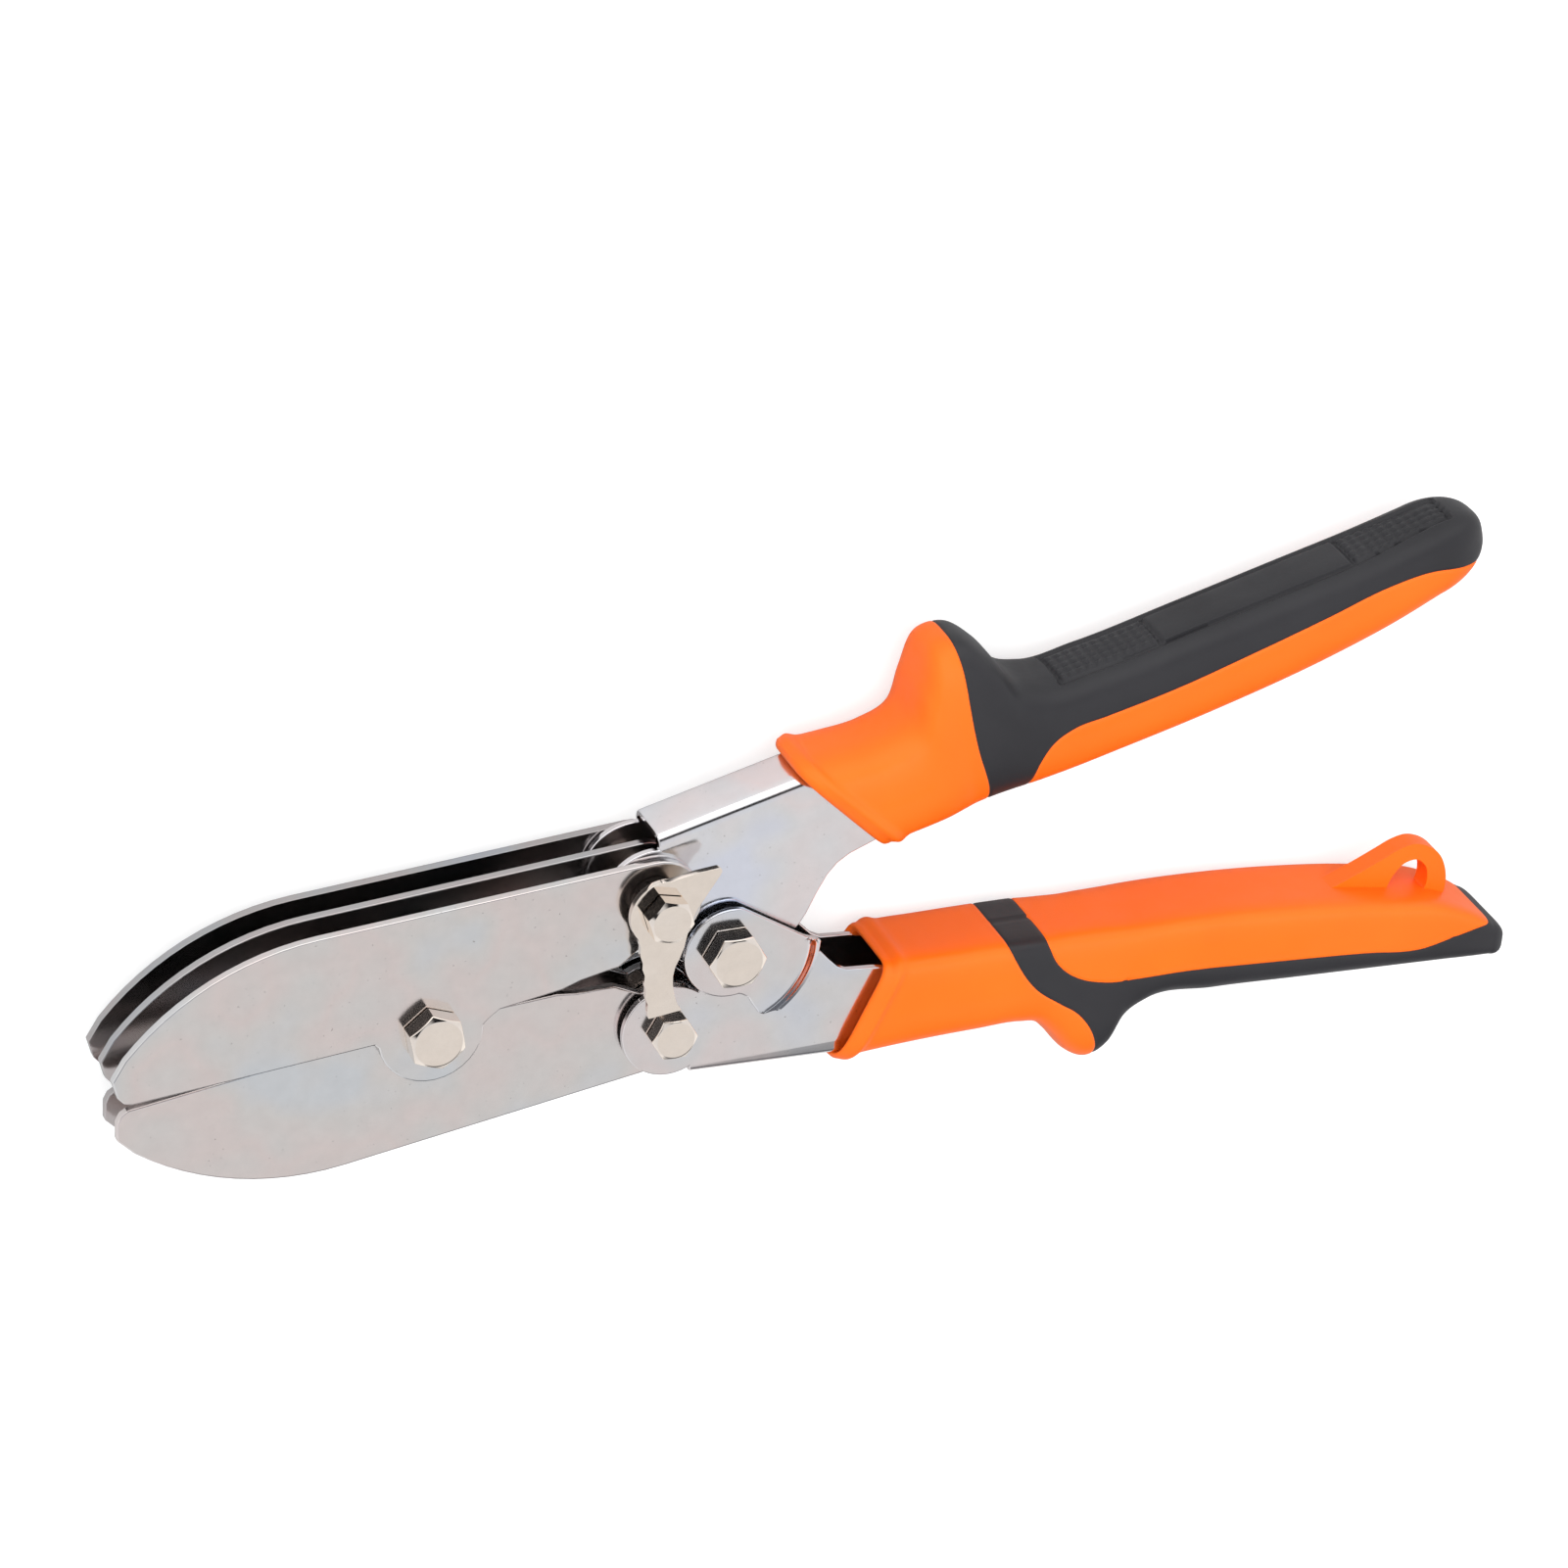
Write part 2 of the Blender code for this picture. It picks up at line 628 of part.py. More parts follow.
def make_grip(side, stations, squareness, dark_region, grown_region, tang, tang_half, extras=()):
    """One grip: the orange body over the channel's tang, and the dark overmould round it."""
    fine = smooth_stations(stations, 2)
    inside = smooth_stations(stations[2:-1], 2)
    reach = 30.0

    dark = loft(side + "_grip_overmould", fine, squareness)
    cut(dark, outline_solid(side + "_dark_region", [dark_region], -reach, reach), "INTERSECT")
    cut(dark, loft(side + "_dark_inside", inside, squareness + 1.0, OVERMOULD_THICK))

    body = loft(side + "_grip_body", fine, squareness)
    cut(body, outline_solid(side + "_region_with_gap", [grown_region], -reach, reach))
    cut(body, loft(side + "_core", inside, squareness + 1.0, OVERMOULD_THICK + GAP), "UNION")
    for extra in extras:
        cut(body, extra, "UNION")
    cut(body, outline_solid(side + "_tang_space", [tang], -tang_half, tang_half))
    finish(dark, "handle", "dark_rubber")
    finish(body, "handle", "orange_plastic")


def make_upper_grip():
    stations = [
        (93.6, 12.2, 76.0, 33.6, 10.6),
        (97.0, 12.7, 84.0, 33.4, 10.6),
        (101.0, 13.3, 92.5, 33.8, 10.6),
        (105.0, 13.9, 98.8, 36.4, 10.6),
        (108.2, 14.4, 103.0, 42.8, 10.5),
        (111.0, 14.8, 106.3, 50.0, 10.2),
        (114.4, 15.3, 110.8, 50.4, 10.2),
        (118.0, 15.9, 115.4, 46.0, 10.4),
        (122.0, 16.5, 119.4, 40.0, 10.5),
        (128.0, 17.3, 125.2, 37.4, 10.5),
        (140.0, 19.0, 137.0, 37.9, 10.5),
        (160.0, 22.0, 157.0, 40.8, 10.4),
        (182.0, 26.4, 178.0, 44.0, 10.3),
        (198.0, 30.8, 195.0, 46.6, 10.0),
        (207.0, 33.8, 205.4, 48.6, 9.4),
        (212.6, 36.4, 211.6, 49.0, 8.4),
        (216.6, 39.0, 216.2, 47.8, 6.6),
        (218.8, 41.8, 219.0, 45.6, 3.6),
    ]
    front_seam = [(113.2, 10.0), (112.6, 19.0), (110.4, 29.3), (109.4, 38.2), (109.0, 46.0), (108.4, 56.0)]
    inlay_top = [(212.0, 40.3), (203.4, 41.6), (195.2, 41.0), (182.1, 38.1), (167.6, 35.0), (150.2, 31.6)]
    inlay_front = [(136.0, 29.7), (129.5, 28.9), (125.2, 26.9), (122.4, 23.6), (120.8, 19.0), (120.0, 10.0)]
    dark = front_seam + [(225.0, 56.0), (225.0, 38.5)] + inlay_top + inlay_front
    front_grown = [(x - GAP, y) for x, y in front_seam]
    top_grown = [(x, y - GAP) for x, y in inlay_top]
    turn_grown = [(x + GAP * 0.7, y - GAP * 0.7) for x, y in inlay_front]
    grown = front_grown + [(225.0, 56.0), (225.0, 38.5 - GAP)] + top_grown + turn_grown
    tang = [
        (60.0, 1.0),
        (84.0, 11.6),
        (90.0, 13.6),
        (110.0, 17.8),
        (140.0, 22.1),
        (160.0, 25.3),
        (196.0, 35.2),
        (196.0, 42.3),
        (125.0, 33.2),
        (95.0, 31.4),
        (60.0, 31.3),
    ]
    make_grip("upper", stations, 2.8, dark, grown, tang, UPPER_CHANNEL_HALF + GAP)


def hanging_loop():
    """The eye near the lower grip's end, on its inner side."""
    outer = [
        (182.0, -30.0),
        (206.0, -36.0),
        (207.6, -33.0),
        (207.9, -28.4),
        (206.8, -25.0),
        (204.4, -22.5),
        (201.4, -21.3),
        (198.0, -21.2),
        (192.0, -22.4),
        (185.0, -24.9),
        (176.0, -27.0),
    ]
    hole = [(197.0, -30.2), (204.6, -31.4), (204.6, -26.6), (202.6, -24.4), (199.8, -24.3), (197.0, -25.6)]
    return outline_solid("hanging_loop", [outer, hole], -2.4, 2.4)


def make_lower_grip():
    stations = [
        (77.6, -31.0, 90.4, -11.8, 10.4),
        (84.4, -31.3, 94.8, -12.0, 10.4),
        (94.0, -31.9, 101.0, -12.8, 10.4),
        (106.0, -33.0, 110.0, -13.9, 10.4),
        (115.0, -34.0, 117.4, -14.9, 10.4),
        (120.0, -37.2, 121.8, -15.6, 10.4),
        (124.0, -43.2, 126.0, -16.2, 10.2),
        (128.4, -46.2, 130.6, -16.9, 10.2),
        (132.4, -44.6, 135.0, -17.5, 10.4),
        (135.8, -39.4, 139.0, -18.1, 10.4),
        (141.0, -36.6, 145.0, -18.8, 10.4),
        (155.0, -38.2, 158.6, -20.7, 10.4),
        (172.0, -41.0, 175.4, -24.0, 10.4),
        (190.0, -44.0, 193.0, -28.6, 10.2),
        (203.0, -46.2, 205.6, -33.0, 9.8),
        (211.0, -47.7, 212.8, -37.8, 9.5),
        (216.0, -48.4, 217.2, -42.4, 8.8),
    ]
    front_seam = [(113.6, -8.0), (113.8, -15.0), (114.9, -18.6), (118.4, -25.4), (123.0, -30.0), (126.2, -33.0)]
    front_seam += [(128.6, -37.0), (129.8, -41.2), (129.4, -50.0)]
    rear_seam = [(225.0, -41.0), (212.6, -39.4), (206.8, -39.8), (198.8, -40.4), (186.5, -37.6), (165.4, -33.4)]
    rear_seam += [(150.3, -30.6), (138.9, -29.1), (133.0, -28.2), (127.9, -26.2), (124.8, -23.7)]
    rear_seam += [(122.7, -20.7), (121.6, -17.0), (121.2, -8.0)]
    dark = front_seam + [(225.0, -52.0)] + rear_seam
    front_grown = [(x - GAP * 0.8, y - GAP * 0.6) for x, y in front_seam]
    rear_grown = [(x + GAP * 0.7, y + GAP) for x, y in rear_seam]
    grown = front_grown + [(225.0, -52.0)] + rear_grown
    tang = [
        (60.0, -26.7),
        (78.2, -29.5),
        (97.0, -30.6),
        (115.0, -31.6),
        (140.0, -34.0),
        (170.0, -38.6),
        (201.0, -43.6),
        (201.0, -35.5),
        (175.0, -28.1),
        (150.0, -23.3),
        (120.0, -18.7),
        (100.0, -15.9),
        (84.0, -11.4),
        (60.0, -8.0),
    ]
    make_grip("lower", stations, 4.0, dark, grown, tang, LOWER_CHANNEL_HALF + GAP, [hanging_loop()])


clear_scene()
PARTS = make_collection("duct_crimper")
CUTTERS = make_collection("cutters")
make_materials()
AXES = make_axes()
make_blades()
make_jaw_pivot()
make_upper_link()
make_lower_link()
make_handle_pivot()
make_spring()
make_latch()
make_upper_channel()
make_lower_channel()
make_upper_grip()
make_lower_grip()
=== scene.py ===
"""A five-blade hand crimper for sheet-metal duct pipe, lying on a pale studio floor.

Outlines are in millimetres from the jaw pivot, at the middle of the blade pack, as in the CAD;
tool() moves them into the row frame, in metres.
"""

import json
import math

import bmesh
import bpy
import numpy as np
from mathutils import Matrix, Vector

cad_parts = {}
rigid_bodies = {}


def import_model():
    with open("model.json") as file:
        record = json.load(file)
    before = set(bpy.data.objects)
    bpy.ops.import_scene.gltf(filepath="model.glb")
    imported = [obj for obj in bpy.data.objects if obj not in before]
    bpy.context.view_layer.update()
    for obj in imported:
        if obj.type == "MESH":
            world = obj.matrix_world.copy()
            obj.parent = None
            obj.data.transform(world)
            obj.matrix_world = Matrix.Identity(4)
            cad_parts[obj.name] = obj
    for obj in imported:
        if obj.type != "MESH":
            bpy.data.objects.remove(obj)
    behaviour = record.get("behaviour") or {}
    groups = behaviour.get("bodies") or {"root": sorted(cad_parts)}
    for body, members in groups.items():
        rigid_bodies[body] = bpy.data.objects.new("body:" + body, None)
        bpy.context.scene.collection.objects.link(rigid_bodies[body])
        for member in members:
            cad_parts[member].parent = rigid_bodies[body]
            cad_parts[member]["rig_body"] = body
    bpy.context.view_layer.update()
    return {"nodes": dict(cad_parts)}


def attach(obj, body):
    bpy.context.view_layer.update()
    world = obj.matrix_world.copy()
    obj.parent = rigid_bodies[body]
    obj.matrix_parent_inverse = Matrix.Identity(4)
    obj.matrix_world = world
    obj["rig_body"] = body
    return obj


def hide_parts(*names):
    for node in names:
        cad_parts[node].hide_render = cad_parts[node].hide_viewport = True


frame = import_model()

MM = 0.001
DATUM = np.array((-79.5, -1.245, 14.4))
JAW = (0.0, 0.0)
UPPER_LINK = (45.7, 14.2)
LOWER_LINK = (45.7, -14.2)
HANDLE_PIVOT = (58.7, 0.0)


def tool(points):
    """Points in tool millimetres as points in the row frame, in metres."""
    return (np.asarray(points, float) + DATUM) * MM


def ease(t):
    """A smooth step from 0 to 1."""
    t = np.clip(t, 0, 1)
    return t * t * (3 - 2 * t)


# ---------------------------------------------------------------- camera, light, floor

CAMERA_POINT = (-256.65, 633.11, 993.46)
CAMERA_RIGHT = (0.929955, -0.079442, 0.358990)
CAMERA_UP = (0.245019, 0.861882, -0.443987)
CAMERA_BACK = (-0.274136, 0.500847, 0.820976)


def make_camera():
    data = bpy.data.cameras.new("camera")
    data.lens = 150.0
    data.sensor_width = 36.0
    data.clip_end = 50.0
    camera = bpy.data.objects.new("camera", data)
    bpy.context.scene.collection.objects.link(camera)
    turn = Matrix((CAMERA_RIGHT, CAMERA_UP, CAMERA_BACK)).transposed().to_4x4()
    camera.matrix_world = Matrix.Translation(Vector(tool(CAMERA_POINT))) @ turn
    bpy.context.scene.camera = camera


def make_floor():
    mesh = bpy.data.meshes.new("floor")
    half = 4.0
    corners = [(-half, -half, 0.0), (half, -half, 0.0), (half, half, 0.0), (-half, half, 0.0)]
    mesh.from_pydata(corners, [], [(0, 1, 2, 3)])
    floor = bpy.data.objects.new("floor", mesh)
    bpy.context.scene.collection.objects.link(floor)
    floor.data.materials.append(floor_paper())


def aim(light, point, target=(0.0, 0.0, 0.0)):
    light.location = point
    direction = Vector(target) - Vector(point)
    light.rotation_euler = direction.to_track_quat("-Z", "Y").to_euler()


def make_area_light(name, point, size, power):
    """A soft light aimed at the tool, kept out of its reflections."""
    data = bpy.data.lights.new(name, "AREA")
    data.shape = "RECTANGLE"
    data.size, data.size_y = size
    data.energy = power
    light = bpy.data.objects.new(name, data)
    bpy.context.scene.collection.objects.link(light)
    aim(light, point)
    light.visible_glossy = False


# A dark curtain rail high on the far side: above the first height, below the second, and only
# towards +Y. Each: a direction, and the shares of it between which the edge fades.
DARK_BAND = [
    ((0.0, 0.0, 1.0), 0.70, 0.755),
    ((0.0, 0.0, -1.0), -0.915, -0.875),
    ((-0.29, 0.957, 0.0), 0.06, 0.2),
]
DARK_BAND_LIGHT = (0.015, 0.015, 0.017)

# Each: where it is, the angle it fills, the angle it fades out at, and its light.
STUDIO_PATCHES = [
    ((0.15, 0.99, 0.05), 30.0, 50.0, (1.45, 1.45, 1.45)),
    ((0.27, -0.50, 0.82), 16.0, 34.0, (0.72, 0.71, 0.71)),
    ((0.25, -0.93, 0.28), 16.0, 27.0, (0.16, 0.16, 0.17)),
]


def make_world():
    """A pale studio: light grey overhead, brighter towards the horizon, with a few patches of
    their own light and one narrow dark band."""
    world = bpy.data.worlds.new("studio")
    bpy.context.scene.world = world
    world.use_nodes = True
    nodes = world.node_tree.nodes
    links = world.node_tree.links
    background = nodes["Background"]
    where = nodes.new("ShaderNodeTexCoord").outputs["Generated"]

    def towards(direction, low, high):
        """A mask that fades in as the share of a direction goes from low to high."""
        dot = nodes.new("ShaderNodeVectorMath")
        dot.operation = "DOT_PRODUCT"
        links.new(where, dot.inputs[0])
        dot.inputs[1].default_value = direction
        mask = nodes.new("ShaderNodeMapRange")
        mask.interpolation_type = "SMOOTHSTEP"
        mask.inputs["From Min"].default_value = low
        mask.inputs["From Max"].default_value = high
        links.new(dot.outputs["Value"], mask.inputs["Value"])
        return mask.outputs["Result"]

    def painted(colour, mask, shade):
        mix = nodes.new("ShaderNodeMix")
        mix.data_type = "RGBA"
        links.new(mask, mix.inputs["Factor"])
        links.new(colour, mix.inputs["A"])
        mix.inputs["B"].default_value = (*shade, 1.0)
        return mix.outputs["Result"]

    split = nodes.new("ShaderNodeSeparateXYZ")
    links.new(where, split.inputs[0])
    ramp = nodes.new("ShaderNodeValToRGB")
    ramp.color_ramp.elements[0].position = 0.0
    ramp.color_ramp.elements[0].color = (1.0, 1.0, 1.0, 1.0)
    ramp.color_ramp.elements[1].position = 1.0
    ramp.color_ramp.elements[1].color = (0.70, 0.71, 0.74, 1.0)
    middle = ramp.color_ramp.elements.new(0.45)
    middle.color = (0.80, 0.80, 0.82, 1.0)
    links.new(split.outputs["Z"], ramp.inputs["Fac"])
    colour = ramp.outputs["Color"]
    for direction, inner, outer, shade in STUDIO_PATCHES:
        low, high = math.cos(math.radians(outer)), math.cos(math.radians(inner))
        colour = painted(colour, towards(Vector(direction).normalized(), low, high), shade)
    band = None
    for direction, low, high in DARK_BAND:
        edge = towards(direction, low, high)
        if band:
            product = nodes.new("ShaderNodeMath")
            product.operation = "MULTIPLY"
            links.new(edge, product.inputs[0])
            links.new(band, product.inputs[1])
            edge = product.outputs["Value"]
        band = edge
    links.new(painted(colour, band, DARK_BAND_LIGHT), background.inputs["Color"])
    background.inputs["Strength"].default_value = 1.0


# ---------------------------------------------------------------- materials


class Surface:
    """A node material, with short ways to lay noise into its colour, gloss and relief."""

    def __init__(self, name, metallic=0.0):
        self.material = bpy.data.materials.new(name)
        self.material.use_nodes = True
        self.nodes = self.material.node_tree.nodes
        self.links = self.material.node_tree.links
        self.shader = self.nodes["Principled BSDF"]
        self.shader.inputs["Metallic"].default_value = metallic
        self.place = self.nodes.new("ShaderNodeTexCoord").outputs["Object"]

    def noise(self, scale, detail=4.0, roughness=0.5):
        texture = self.nodes.new("ShaderNodeTexNoise")
        texture.inputs["Scale"].default_value = scale
        texture.inputs["Detail"].default_value = detail
        texture.inputs["Roughness"].default_value = roughness
        self.links.new(self.place, texture.inputs["Vector"])
        return texture.outputs["Fac"]

    def span(self, value, low, high, to_low, to_high):
        node = self.nodes.new("ShaderNodeMapRange")
        node.inputs["From Min"].default_value = low
        node.inputs["From Max"].default_value = high
        node.inputs["To Min"].default_value = to_low
        node.inputs["To Max"].default_value = to_high
        self.links.new(value, node.inputs["Value"])
        return node.outputs["Result"]

    def ramp(self, value, stops):
        node = self.nodes.new("ShaderNodeValToRGB")
        elements = node.color_ramp.elements
        while len(elements) < len(stops):
            elements.new(0.5)
        for element, (position, colour) in zip(elements, stops):
            element.position = position
            element.color = (*colour, 1.0)
        self.links.new(value, node.inputs["Fac"])
        return node.outputs["Color"]

    def mix(self, factor, first, second, blend="MIX"):
        node = self.nodes.new("ShaderNodeMix")
        node.data_type = "RGBA"
        node.blend_type = blend
        for socket, value in (("Factor", factor), ("A", first), ("B", second)):
            if isinstance(value, tuple):
                node.inputs[socket].default_value = (*value, 1.0)
            elif isinstance(value, float):
                node.inputs[socket].default_value = value
            else:
                self.links.new(value, node.inputs[socket])
        return node.outputs["Result"]

    def even(self, value):
        """A number as a grey."""
        node = self.nodes.new("ShaderNodeCombineColor")
        for channel in ("Red", "Green", "Blue"):
            self.links.new(value, node.inputs[channel])
        return node.outputs["Color"]

    def feed(self, socket, value):
        self.links.new(value, self.shader.inputs[socket])

    def relief(self, layers):
        """Layers of (height, depth in millimetres), one bump on the other."""
        normal = None
        for height, depth in layers:
            bump = self.nodes.new("ShaderNodeBump")
            bump.inputs["Strength"].default_value = 1.0
            bump.inputs["Distance"].default_value = depth * MM
            self.links.new(height, bump.inputs["Height"])
            if normal:
                self.links.new(normal, bump.inputs["Normal"])
            normal = bump.outputs["Normal"]
        self.feed("Normal", normal)


def floor_paper():
    """Matt paper that the camera sees nearly as bright as the lit background behind it."""
    surface = Surface("pale_paper")
    tone = surface.noise(6.0, 2.0)
    stops = [(0.3, (0.52, 0.52, 0.52)), (0.7, (0.54, 0.54, 0.54))]
    surface.feed("Base Color", surface.ramp(tone, stops))
    surface.shader.inputs["Roughness"].default_value = 0.95
    surface.shader.inputs["Specular IOR Level"].default_value = 0.0
    surface.shader.inputs["Emission Color"].default_value = (1.0, 1.0, 1.0, 1.0)
    seen = surface.nodes.new("ShaderNodeLightPath").outputs["Is Camera Ray"]
    surface.feed("Emission Strength", surface.span(seen, 0.0, 1.0, 0.0, 0.60))
    return surface.material


def zinc(name, tone=1.0, warmth=0.0):
    """Bright zinc on blanked steel: a soft mirror with a cloudy pink and blue cast, and pits."""
    surface = Surface(name, metallic=1.0)
    cloud = surface.noise(42.0, 2.0, 0.5)
    pink = tuple(tone * c for c in (0.84, 0.77 - 0.01 * warmth, 0.76 - 0.02 * warmth))
    grey = tuple(tone * c for c in (0.795, 0.785 - 0.01 * warmth, 0.785 - 0.025 * warmth))
    blue = tuple(tone * c for c in (0.755, 0.785, 0.845 - 0.03 * warmth))
    colour = surface.ramp(cloud, [(0.34, blue), (0.46, grey), (0.56, pink), (0.70, grey)])
    film = surface.span(surface.noise(260.0, 4.0, 0.6), 0.3, 0.7, 0.965, 1.02)
    colour = surface.mix(1.0, colour, surface.even(film), "MULTIPLY")
    pits = surface.span(surface.noise(1700.0, 2.0, 0.4), 0.735, 0.77, 0.0, 0.5)
    surface.feed("Base Color", surface.mix(pits, colour, (0.30, 0.28, 0.27)))
    smear = surface.noise(45.0, 5.0, 0.6)
    surface.feed("Roughness", surface.span(smear, 0.3, 0.7, 0.10, 0.19))
    surface.relief([(surface.noise(130.0, 2.0), 0.02), (surface.noise(700.0, 3.0), 0.0012)])
    return surface.material


def nickel():
    """Bright nickel on bolts and latch: warm, nearly a mirror, with faint handling marks."""
    surface = Surface("bright_nickel", metallic=1.0)
    cloud = surface.noise(160.0, 3.0)
    stops = [(0.3, (0.985, 0.885, 0.785)), (0.7, (1.0, 0.91, 0.82))]
    colour = surface.ramp(cloud, stops)
    film = surface.span(surface.noise(420.0, 4.0, 0.65), 0.3, 0.7, 0.95, 1.01)
    surface.feed("Base Color", surface.mix(1.0, colour, surface.even(film), "MULTIPLY"))
    smear = surface.noise(300.0, 6.0, 0.65)
    surface.feed("Roughness", surface.span(smear, 0.35, 0.7, 0.05, 0.12))
    surface.relief([(surface.noise(300.0, 2.0), 0.012)])
    return surface.material


def dark_steel(name, tone):
    """Drawn steel, with fine marks along it. At a low tone it is nearly black, used as painted
    shade on the latch spacer.
    """
    surface = Surface(name, metallic=1.0)
    drawn = surface.noise(500.0, 4.0)
    light = tuple(tone * c for c in (0.34, 0.33, 0.325))
    dark = tuple(tone * c for c in (0.22, 0.215, 0.21))
    surface.feed("Base Color", surface.ramp(drawn, [(0.3, dark), (0.7, light)]))
    surface.feed("Roughness", surface.span(drawn, 0.3, 0.7, 0.25, 0.4))
    surface.relief([(drawn, 0.02)])
    return surface.material


def orange_plastic():
    """Satin orange polypropylene with a faint moulding texture and slightly uneven pigment."""
    surface = Surface("orange_plastic")
    flow = surface.noise(28.0, 3.0, 0.5)
    stops = [(0.3, (0.93, 0.130, 0.002)), (0.7, (0.97, 0.150, 0.005))]
    surface.feed("Base Color", surface.ramp(flow, stops))
    smear = surface.noise(60.0, 5.0, 0.6)
    surface.feed("Roughness", surface.span(smear, 0.3, 0.7, 0.38, 0.5))
    surface.shader.inputs["Specular IOR Level"].default_value = 0.32
    surface.shader.inputs["Subsurface Weight"].default_value = 0.05
    surface.shader.inputs["Subsurface Radius"].default_value = (0.002, 0.0008, 0.0003)
    surface.shader.inputs["Subsurface Scale"].default_value = 0.5
    texture = surface.noise(1500.0, 2.0)
    swell = surface.noise(70.0, 2.0)
    surface.relief([(swell, 0.05), (texture, 0.008)])
    return surface.material


def dark_rubber():
    """Charcoal thermoplastic rubber with a fine leathery grain."""
    surface = Surface("charcoal_rubber")
    cloud = surface.noise(35.0, 4.0, 0.55)
    stops = [(0.3, (0.0165, 0.016, 0.0185)), (0.7, (0.023, 0.0225, 0.0255))]
    surface.feed("Base Color", surface.ramp(cloud, stops))
    smear = surface.noise(80.0, 6.0, 0.65)
    surface.feed("Roughness", surface.span(smear, 0.3, 0.7, 0.38, 0.52))
    surface.shader.inputs["Specular IOR Level"].default_value = 0.38
    grain = surface.noise(1100.0, 3.0)
    surface.relief([(surface.noise(90.0, 3.0), 0.04), (grain, 0.02)])
    return surface.material


# ---------------------------------------------------------------- pieces from the CAD


SAME_POINT = 0.002  # points nearer than this are one point, in millimetres


def link(obj):
    bpy.context.scene.collection.objects.link(obj)
    return obj


def shade(obj, material, angle=35.0):
    obj.data.materials.clear()
    obj.data.materials.append(material)
    obj.data.shade_smooth()
    obj.data.set_sharp_from_angle(angle=math.radians(angle))


def joined(mesh, merge, flat, outward=False):
    """Merges a mesh's near points, in millimetres, and the faces that are flat to within an
    angle, and can turn its faces outward."""
    bm = bmesh.new()
    bm.from_mesh(mesh)
    bmesh.ops.remove_doubles(bm, verts=bm.verts, dist=merge * MM)
    limit = math.radians(flat)
    bmesh.ops.dissolve_limit(bm, angle_limit=limit, verts=bm.verts, edges=bm.edges)
    if outward:
        bmesh.ops.recalc_face_normals(bm, faces=bm.faces)
    bm.to_mesh(mesh)
    bm.free()


def break_edges(obj, angle, width, segments=3, clamp=True, harden=True):
    """Rounds the edges sharper than an angle, by a width in millimetres."""
    bevel = obj.modifiers.new("broken_edges", "BEVEL")
    bevel.limit_method = "ANGLE"
    bevel.angle_limit = math.radians(angle)
    bevel.width = width * MM
    bevel.segments = segments
    bevel.use_clamp_overlap = clamp
    bevel.harden_normals = harden


def refined(node, material, width, segments=3):
    """A CAD node with its edges broken, as a blanked and tumbled piece has them."""
    source = frame["nodes"][node]
    mesh = source.data.copy()
    mesh.name = node + "_shown"
    joined(mesh, SAME_POINT, 1.0)
    obj = link(bpy.data.objects.new(node + "_shown", mesh))
    shade(obj, material)
    break_edges(obj, 40, width, segments)
    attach(obj, source["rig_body"])
    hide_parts(node)


# ---------------------------------------------------------------- pressed handles and latch

SHEET = 1.5
BEND_RADIUS = 3.0
LOWER_HALF = 7.5  # half the lower channel's width over its flanges
UPPER_HALF = 6.6
LINK_HOLE = 2.8
PIVOT_HOLE = 3.3


def arc(centre, radius, start, end, steps=12):
    """Points on a circle from start to end, in degrees."""
    angles = np.radians(np.linspace(start, end, steps + 1))
    x = centre[0] + radius * np.cos(angles)
    y = centre[1] + radius * np.sin(angles)
    return [(float(px), float(py)) for px, py in zip(x, y)]


def outline_mesh(name, loops, low, high):
    """A flat outline with holes as a closed mesh with undivided faces."""
    curve = bpy.data.curves.new(name, "CURVE")
    curve.dimensions = "2D"
    curve.fill_mode = "BOTH"
    curve.extrude = (high - low) / 2 * MM
    for loop in loops:
        spline_curve = curve.splines.new("POLY")
        spline_curve.points.add(len(loop) - 1)
        for point, (x, y) in zip(spline_curve.points, loop):
            place = tool((x, y, 0.0))
            point.co = (place[0], place[1], 0.0, 1.0)
        spline_curve.use_cyclic_u = True
    obj = link(bpy.data.objects.new(name, curve))
    mesh = evaluated_mesh(obj)
    bpy.data.objects.remove(obj)
    bpy.data.curves.remove(curve)
    mesh.transform(Matrix.Translation((0.0, 0.0, tool((0, 0, (low + high) / 2))[2])))
    joined(mesh, SAME_POINT, 0.5, outward=True)
    mesh.name = name
    return link(bpy.data.objects.new(name, mesh))


def evaluated_mesh(obj):
    bpy.context.view_layer.update()
    graph = bpy.context.evaluated_depsgraph_get()
    return bpy.data.meshes.new_from_object(obj.evaluated_get(graph), depsgraph=graph)


def boolean(obj, other, operation="DIFFERENCE"):
    """Cuts obj by other, or joins them, and removes other."""
    modifier = obj.modifiers.new("cut", "BOOLEAN")
    modifier.operation = operation
    modifier.solver = "EXACT"
    modifier.object = other
    mesh = evaluated_mesh(obj)
    obj.modifiers.clear()
    obj.data = mesh
    bpy.data.objects.remove(other)
    return obj


